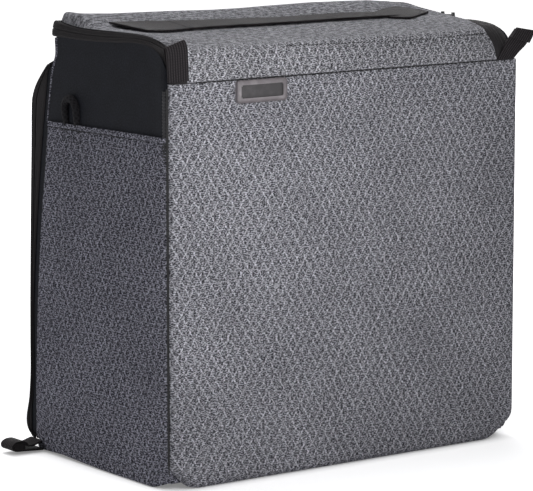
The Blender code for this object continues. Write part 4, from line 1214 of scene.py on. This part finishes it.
def zip_strip(name, inside, outside, top_inside, top_outside, reach, thickness, body, look,
              stands_for=(), ribs=5):
    """One tape round the door, between an inner and an outer edge."""
    count = 260
    pairs = round_the_door(inside, outside, top_inside, top_outside, reach)
    line = smooth_line(np.array([np.hstack(pair) for pair in pairs]), count + 1)

    def place(u, v):
        index = np.round(v * count).astype(int)
        low, high = line[index, :3], line[index, 3:]
        spot = low + (high - low) * u[:, None]
        sideways = ease(np.abs(spot[:, 0]), 120, 162)
        out = np.column_stack((np.sign(spot[:, 0]) * sideways, 0 * u, 1 - sideways))
        edge = np.clip(1 - np.minimum(u, 1 - u) / 0.1, 0, 1)
        lift = 0.16 * np.cos(u * 2 * math.pi * ribs) - 0.8 * edge ** 2
        return (spot + out * lift[:, None]).T

    piece = laid_sheet(name, 16, count, place)
    thickened(piece, thickness, (0, 40, 150))
    finished(piece, body, look, stands_for, 50)


zip_strip("door_zip_channel", wall_y - 5.5, np.maximum(chain_y, wall_y + 1.0),
          (top_in[0] - 4, top_in[1] + 3), (top_in[0] + 2, top_in[1] - 0.5), 164.0, 1.0,
          "case", black_cloth, ribs=0)
zip_strip("door_zip_tape_case", tape_y, chain_y - 0.2, top_in, top_chain, 165.2, 1.6,
          "case", zip_tape, ["door_zip_case_tape"])
zip_strip("door_zip_tape_door", chain_y + 0.5, rim_y + 0.4, top_below, top_rim, 165.2, 1.6,
          "door", zip_tape, ["door_zip_door_tape"], 3)
print("door and its zip made")

# %% [markdown]
# ## Inside
#
# When the lid or the door is open the lining shows. Loop cloth covers the walls, and the dividers are
# foam pads in the same cloth; their dark bound edge isn't drawn. Hook strips hold the uprights to the
# front, and each shelf hangs by flaps that turn down at its ends.

# %% Linings
LINING_FRONT = -88.9
LINING_REAR = 90.0
LINING_FOOT = 11.1
for word, side in SIDES:
    def wall_lining(u, v):
        y = LINING_FRONT + u * (LINING_REAR - LINING_FRONT)
        top = np.minimum(np.interp(y, BAND_FOOT_LINE[:, 0], BAND_FOOT_LINE[:, 1]) - 3.6, 326.0)
        z = LINING_FOOT + v * (top - LINING_FOOT)
        return side * 153.3 + 0 * u, LINING_FRONT + u * (rear_edge(z) - 3.0 - LINING_FRONT), z

    foam_pad(f"{word}_wall_lining", 40, 50, wall_lining,
             lambda u, v: (side * 151.9 + 0 * u, *wall_lining(u, v)[1:]),
             "case", f"{word}_liner", lining_loop)
for name, low, high, body, slot in (
        ("front_lining", (-151.6, -90.7, LINING_FOOT), (151.6, -89.2, 302.5), "case", "front_liner"),
        ("base_lining", (-153.4, -90.7, 9.3), (153.4, LINING_REAR, 10.8), "case", "base_liner"),
        ("lid_lining", (-151.6, -65.0, 331.2), (151.6, 49.7, 332.7), "lid", "lid_liner")):
    box_pad(name, low, high, 0.5, body, lining_loop, [slot], 2)


HEADER_LOW = 305.6
HEADER_HIGH = 331.8
HEADER_REACH = 153.3


def header(u, v):
    z = HEADER_LOW + v * (HEADER_HIGH - HEADER_LOW)
    edge = np.clip(1 - np.minimum(z - HEADER_LOW, HEADER_HIGH - z) / 3, 0, 1)
    return HEADER_REACH * (1 - 2 * u), rear_edge(z) - 0.2 - 2.2 * (1 - np.sqrt(1 - edge ** 2)), z


def header_back(u, v):
    x, y, z = header(u, v)
    return x, 50.3 + 0 * y, z


def on_door_lining(u, v, inward):
    return 151.3 - 302.6 * u, *on_door(16 + v * (PANEL_END - 28), inward)


foam_pad("rear_header_pad", 60, 24, header, header_back, "case", "rear_header", heather_painted_shade)
foam_pad("door_lining", 40, 60, lambda u, v: on_door_lining(u, v, 7.4),
         lambda u, v: on_door_lining(u, v, 8.8), "door", "door_liner", lining_loop)
print("linings made")

# %% Dividers and hook strips
for word, side in SIDES:
    middle = side * 49.9

    def upright(u, v):
        z = 11.3 + v * 284.5
        return middle + side * 3.9 + 0 * u, -87.2 + u * (rear_edge(z) - 4.2 + 87.2), z

    piece = laid_sheet(f"{word}_upright_pad", 50, 60, upright)
    backed(piece, lambda u, v: (middle - side * 3.9 + 0 * u, *upright(u, v)[1:]))
    applied(piece, "BEVEL", width=2.4 * MM, segments=4, limit_method="ANGLE")
    finished(piece, "case", divider_loop, [f"{word}_upright_divider"], 60)
    box_pad(f"{word}_hook_strip", (middle - 20, -88.9, 20.1), (middle + 20, -87.7, 287.0), 0.4, "case",
            hook_cloth, [f"{word}_upright_hook_strip"], 2)
for name, body in (("left_lower_shelf", "shelf_left_low"), ("left_upper_shelf", "shelf_left_high"),
                   ("centre_shelf", "shelf_centre"), ("right_shelf", "shelf_right")):
    low, high = box_of(name)
    pad = box_pad(f"{name}_pad", (low[0] + 0.1, low[1], high[2] - 8.0), high - (0.1, 0, 0), 2.6, body,
                  divider_loop, [name], 4)
    for tag, near, far in (("near", low[0] + 0.05, low[0] + 1.5), ("far", high[0] - 1.5, high[0] - 0.05)):
        box_pad(f"{name}_{tag}_flap", (near, low[1] + 1, low[2]), (far, high[1] - 1, high[2] - 6.0), 0.5,
                body, hook_cloth, (), 2)
print("inside made")

# %% [markdown]
# ## Badge, sliders and pulls
#
# The badge is a small moulded plate with a raised rim. It is bare here. It starts as a cube at the
# plate's size: its upright corners are bevelled, and two insets leave the rim and sink the field. A slider
# is a metal body that rides on the zip, with a bridge that holds a rubber pull. The sliders sit low, so
# that they don't stand over the lid.

# %% Badge


def badge():
    low, high = box_of("blank_badge")
    piece = cube_between("blank_badge_plate", low, high)
    choose(piece)
    bpy.ops.object.mode_set(mode="EDIT")
    bpy.ops.mesh.select_all(action="DESELECT")
    bpy.ops.object.mode_set(mode="OBJECT")
    for edge in piece.data.edges:
        a, b = (piece.data.vertices[index].co for index in edge.vertices)
        edge.select = abs(a.x - b.x) < 1e-6 and abs(a.z - b.z) < 1e-6
    bpy.ops.object.mode_set(mode="EDIT")
    bpy.ops.mesh.bevel(offset=2.6 * MM, segments=6, affect="EDGES")
    bpy.ops.mesh.select_all(action="DESELECT")
    bpy.ops.object.mode_set(mode="OBJECT")
    for face in piece.data.polygons:
        face.select = face.normal.y < -0.9
    bpy.ops.object.mode_set(mode="EDIT")
    bpy.ops.mesh.inset(thickness=0.5 * MM)
    bpy.ops.transform.translate(value=(0, -0.25 * MM, 0))
    bpy.ops.mesh.inset(thickness=1.9 * MM)
    bpy.ops.mesh.inset(thickness=0.3 * MM)
    bpy.ops.transform.translate(value=(0, 0.7 * MM, 0))
    bpy.ops.object.mode_set(mode="OBJECT")
    finished(piece, "case", badge_frame, ["blank_badge"], 30)
    piece.data.materials.append(badge_field)
    middle = (low[0] + high[0]) / 2 * MM
    for face in piece.data.polygons:
        inside = face.normal.y < -0.9 and abs(face.center.x - middle) < 19.9 * MM and face.area > 0.0003
        face.material_index = 1 if inside else 0


badge()

# %% Sliders and pulls


def zip_slider(name, body, pull, pull_body, along, drop):
    """A metal body with a bridge on it, and a rubber tag that hangs from the bridge."""
    low, high = box_of(name)
    high[2] -= drop
    low[2] -= drop * 0.4
    box_pad(f"{name}_body", low, high - (1.8, 0, 0), 1.4, body, painted_metal, [name], 4)
    middle = (low + high) / 2
    arch = []
    for reach, out in ((-3.8, 3.0), (-3.4, 1.0), (-2.0, 0.2), (0.0, 0.0), (2.0, 0.2), (3.4, 1.0), (3.8, 3.0)):
        spot = middle.copy()
        spot[along] += reach
        spot[0] = high[0] - 0.7 - out
        arch.append(spot)
    tube(f"{name}_bridge", smooth_line(arch, 25), 0.7, body, painted_metal, sides=10)
    low, high = box_of(pull)
    top = high[2] - 0.4
    y = (low[1] + high[1]) / 2
    x = high[0] - 1.2
    outline = ((2.0, low[2]), (2.9, low[2] + 1.6), (3.0, low[2] + 6), (2.7, low[2] + 16), (2.0, top - 6),
               (1.2, top))
    tag = [((x, y - half, z), (x, y + half, z)) for half, z in outline]
    ribbon(f"{pull}_tag", tag, 2.0, pull_body, pull_rubber, [pull])


zip_slider("lid_front_slider", "front_slider", "lid_front_pull", "front_pull", 1, 3.2)
zip_slider("lid_rear_slider", "rear_slider", "lid_rear_pull", "rear_pull", 1, 3.2)
zip_slider("door_slider", "side_slider", "door_pull", "side_pull", 2, 0.0)

# %% [markdown]
# ## Floor and light
#
# The floor is white paper. The camera should see it as pure white, yet the insert must not be lit by a
# glowing floor, so the glow is switched on only for rays that come straight from the camera, a mirror or
# glass. It is a little weaker close to the insert, where its shadow shows, and darkest right under the
# edges, where an occlusion test dims it: both are painted shade on top of the lamps' own shadow. Four
# soft lamps light the object: a small one in front for the fall-off across the front panel, a large one
# above, and one on each side, further back.

# %% Floor
bpy.ops.object.select_all(action="DESELECT")
bpy.ops.mesh.primitive_plane_add(size=30, location=(0, 0, 0))
floor = bpy.context.object
floor.name = "studio_floor"
ground = Finish("studio_floor", Roughness=1.0, Specular_IOR_Level=0.0, Base_Color=(0.84, 0.84, 0.86, 1.0),
                Emission_Color=(1.0, 1.0, 1.0, 1.0))


def seen_directly(tree):
    """1 for a ray from the camera, a mirror or glass, 0 for light that falls on a surface."""
    rays = tree.nodes.new("ShaderNodeLightPath").outputs
    seen, mirrored, through = (Wire(rays[f"Is {kind} Ray"]) for kind in ("Camera", "Glossy", "Transmission"))
    return (seen + mirrored + through).math("MINIMUM", 1.0)


distance = ground.space.node("ShaderNodeVectorMath", {"operation": "LENGTH"}, {0: ground.space}, output=1)
# The glow is weaker near the insert and weakest where the occlusion test finds the floor close under its
# edges: a painted contact shadow.
open_sky = distance.node("ShaderNodeAmbientOcclusion", {"samples": 8}, {"Distance": 0.02}, output=1)
pale = 0.68 + distance.step(0.22, 0.6) * 0.44
ground.feed("Emission Strength", seen_directly(ground.tree) * pale * (open_sky.step(0.1, 0.75) * 0.7 + 0.3))
floor.data.materials.append(ground.material)

world = bpy.data.worlds.new("studio")
bpy.context.scene.world = world
world.use_nodes = True
background = world.node_tree.nodes["Background"]
ambient = 0.04
strength = seen_directly(world.node_tree) * (1.0 - ambient) + ambient
world.node_tree.links.new(strength.socket, background.inputs["Strength"])
background.inputs["Color"].default_value = (1, 1, 1, 1)

# %% Lights


def softbox(name, place, target, size, power, colour=(1, 1, 1)):
    bpy.ops.object.select_all(action="DESELECT")
    bpy.ops.object.light_add(type="AREA", location=place)
    lamp = bpy.context.object
    lamp.name = name
    lamp.rotation_euler = (Vector(target) - Vector(place)).to_track_quat("-Z", "Y").to_euler()
    lamp.data.shape = "RECTANGLE"
    lamp.data.size, lamp.data.size_y = size
    lamp.data.energy = power
    lamp.data.color = colour
    lamp.visible_camera = False


softbox("key", (-0.2, -0.54, 0.37), (-0.07, -0.1, 0.25), (0.3, 0.3), 1.6)
softbox("top", (0.1, 0.6, 1.9), (0, 0, 0.3), (1.2, 1.2), 20)
softbox("left", (-1.9, 0.9, 0.6), (0, 0, 0.2), (0.8, 0.8), 2.6)
softbox("rear", (1.6, 1.9, 0.8), (0, 0, 0.2), (1.0, 1.0), 14)
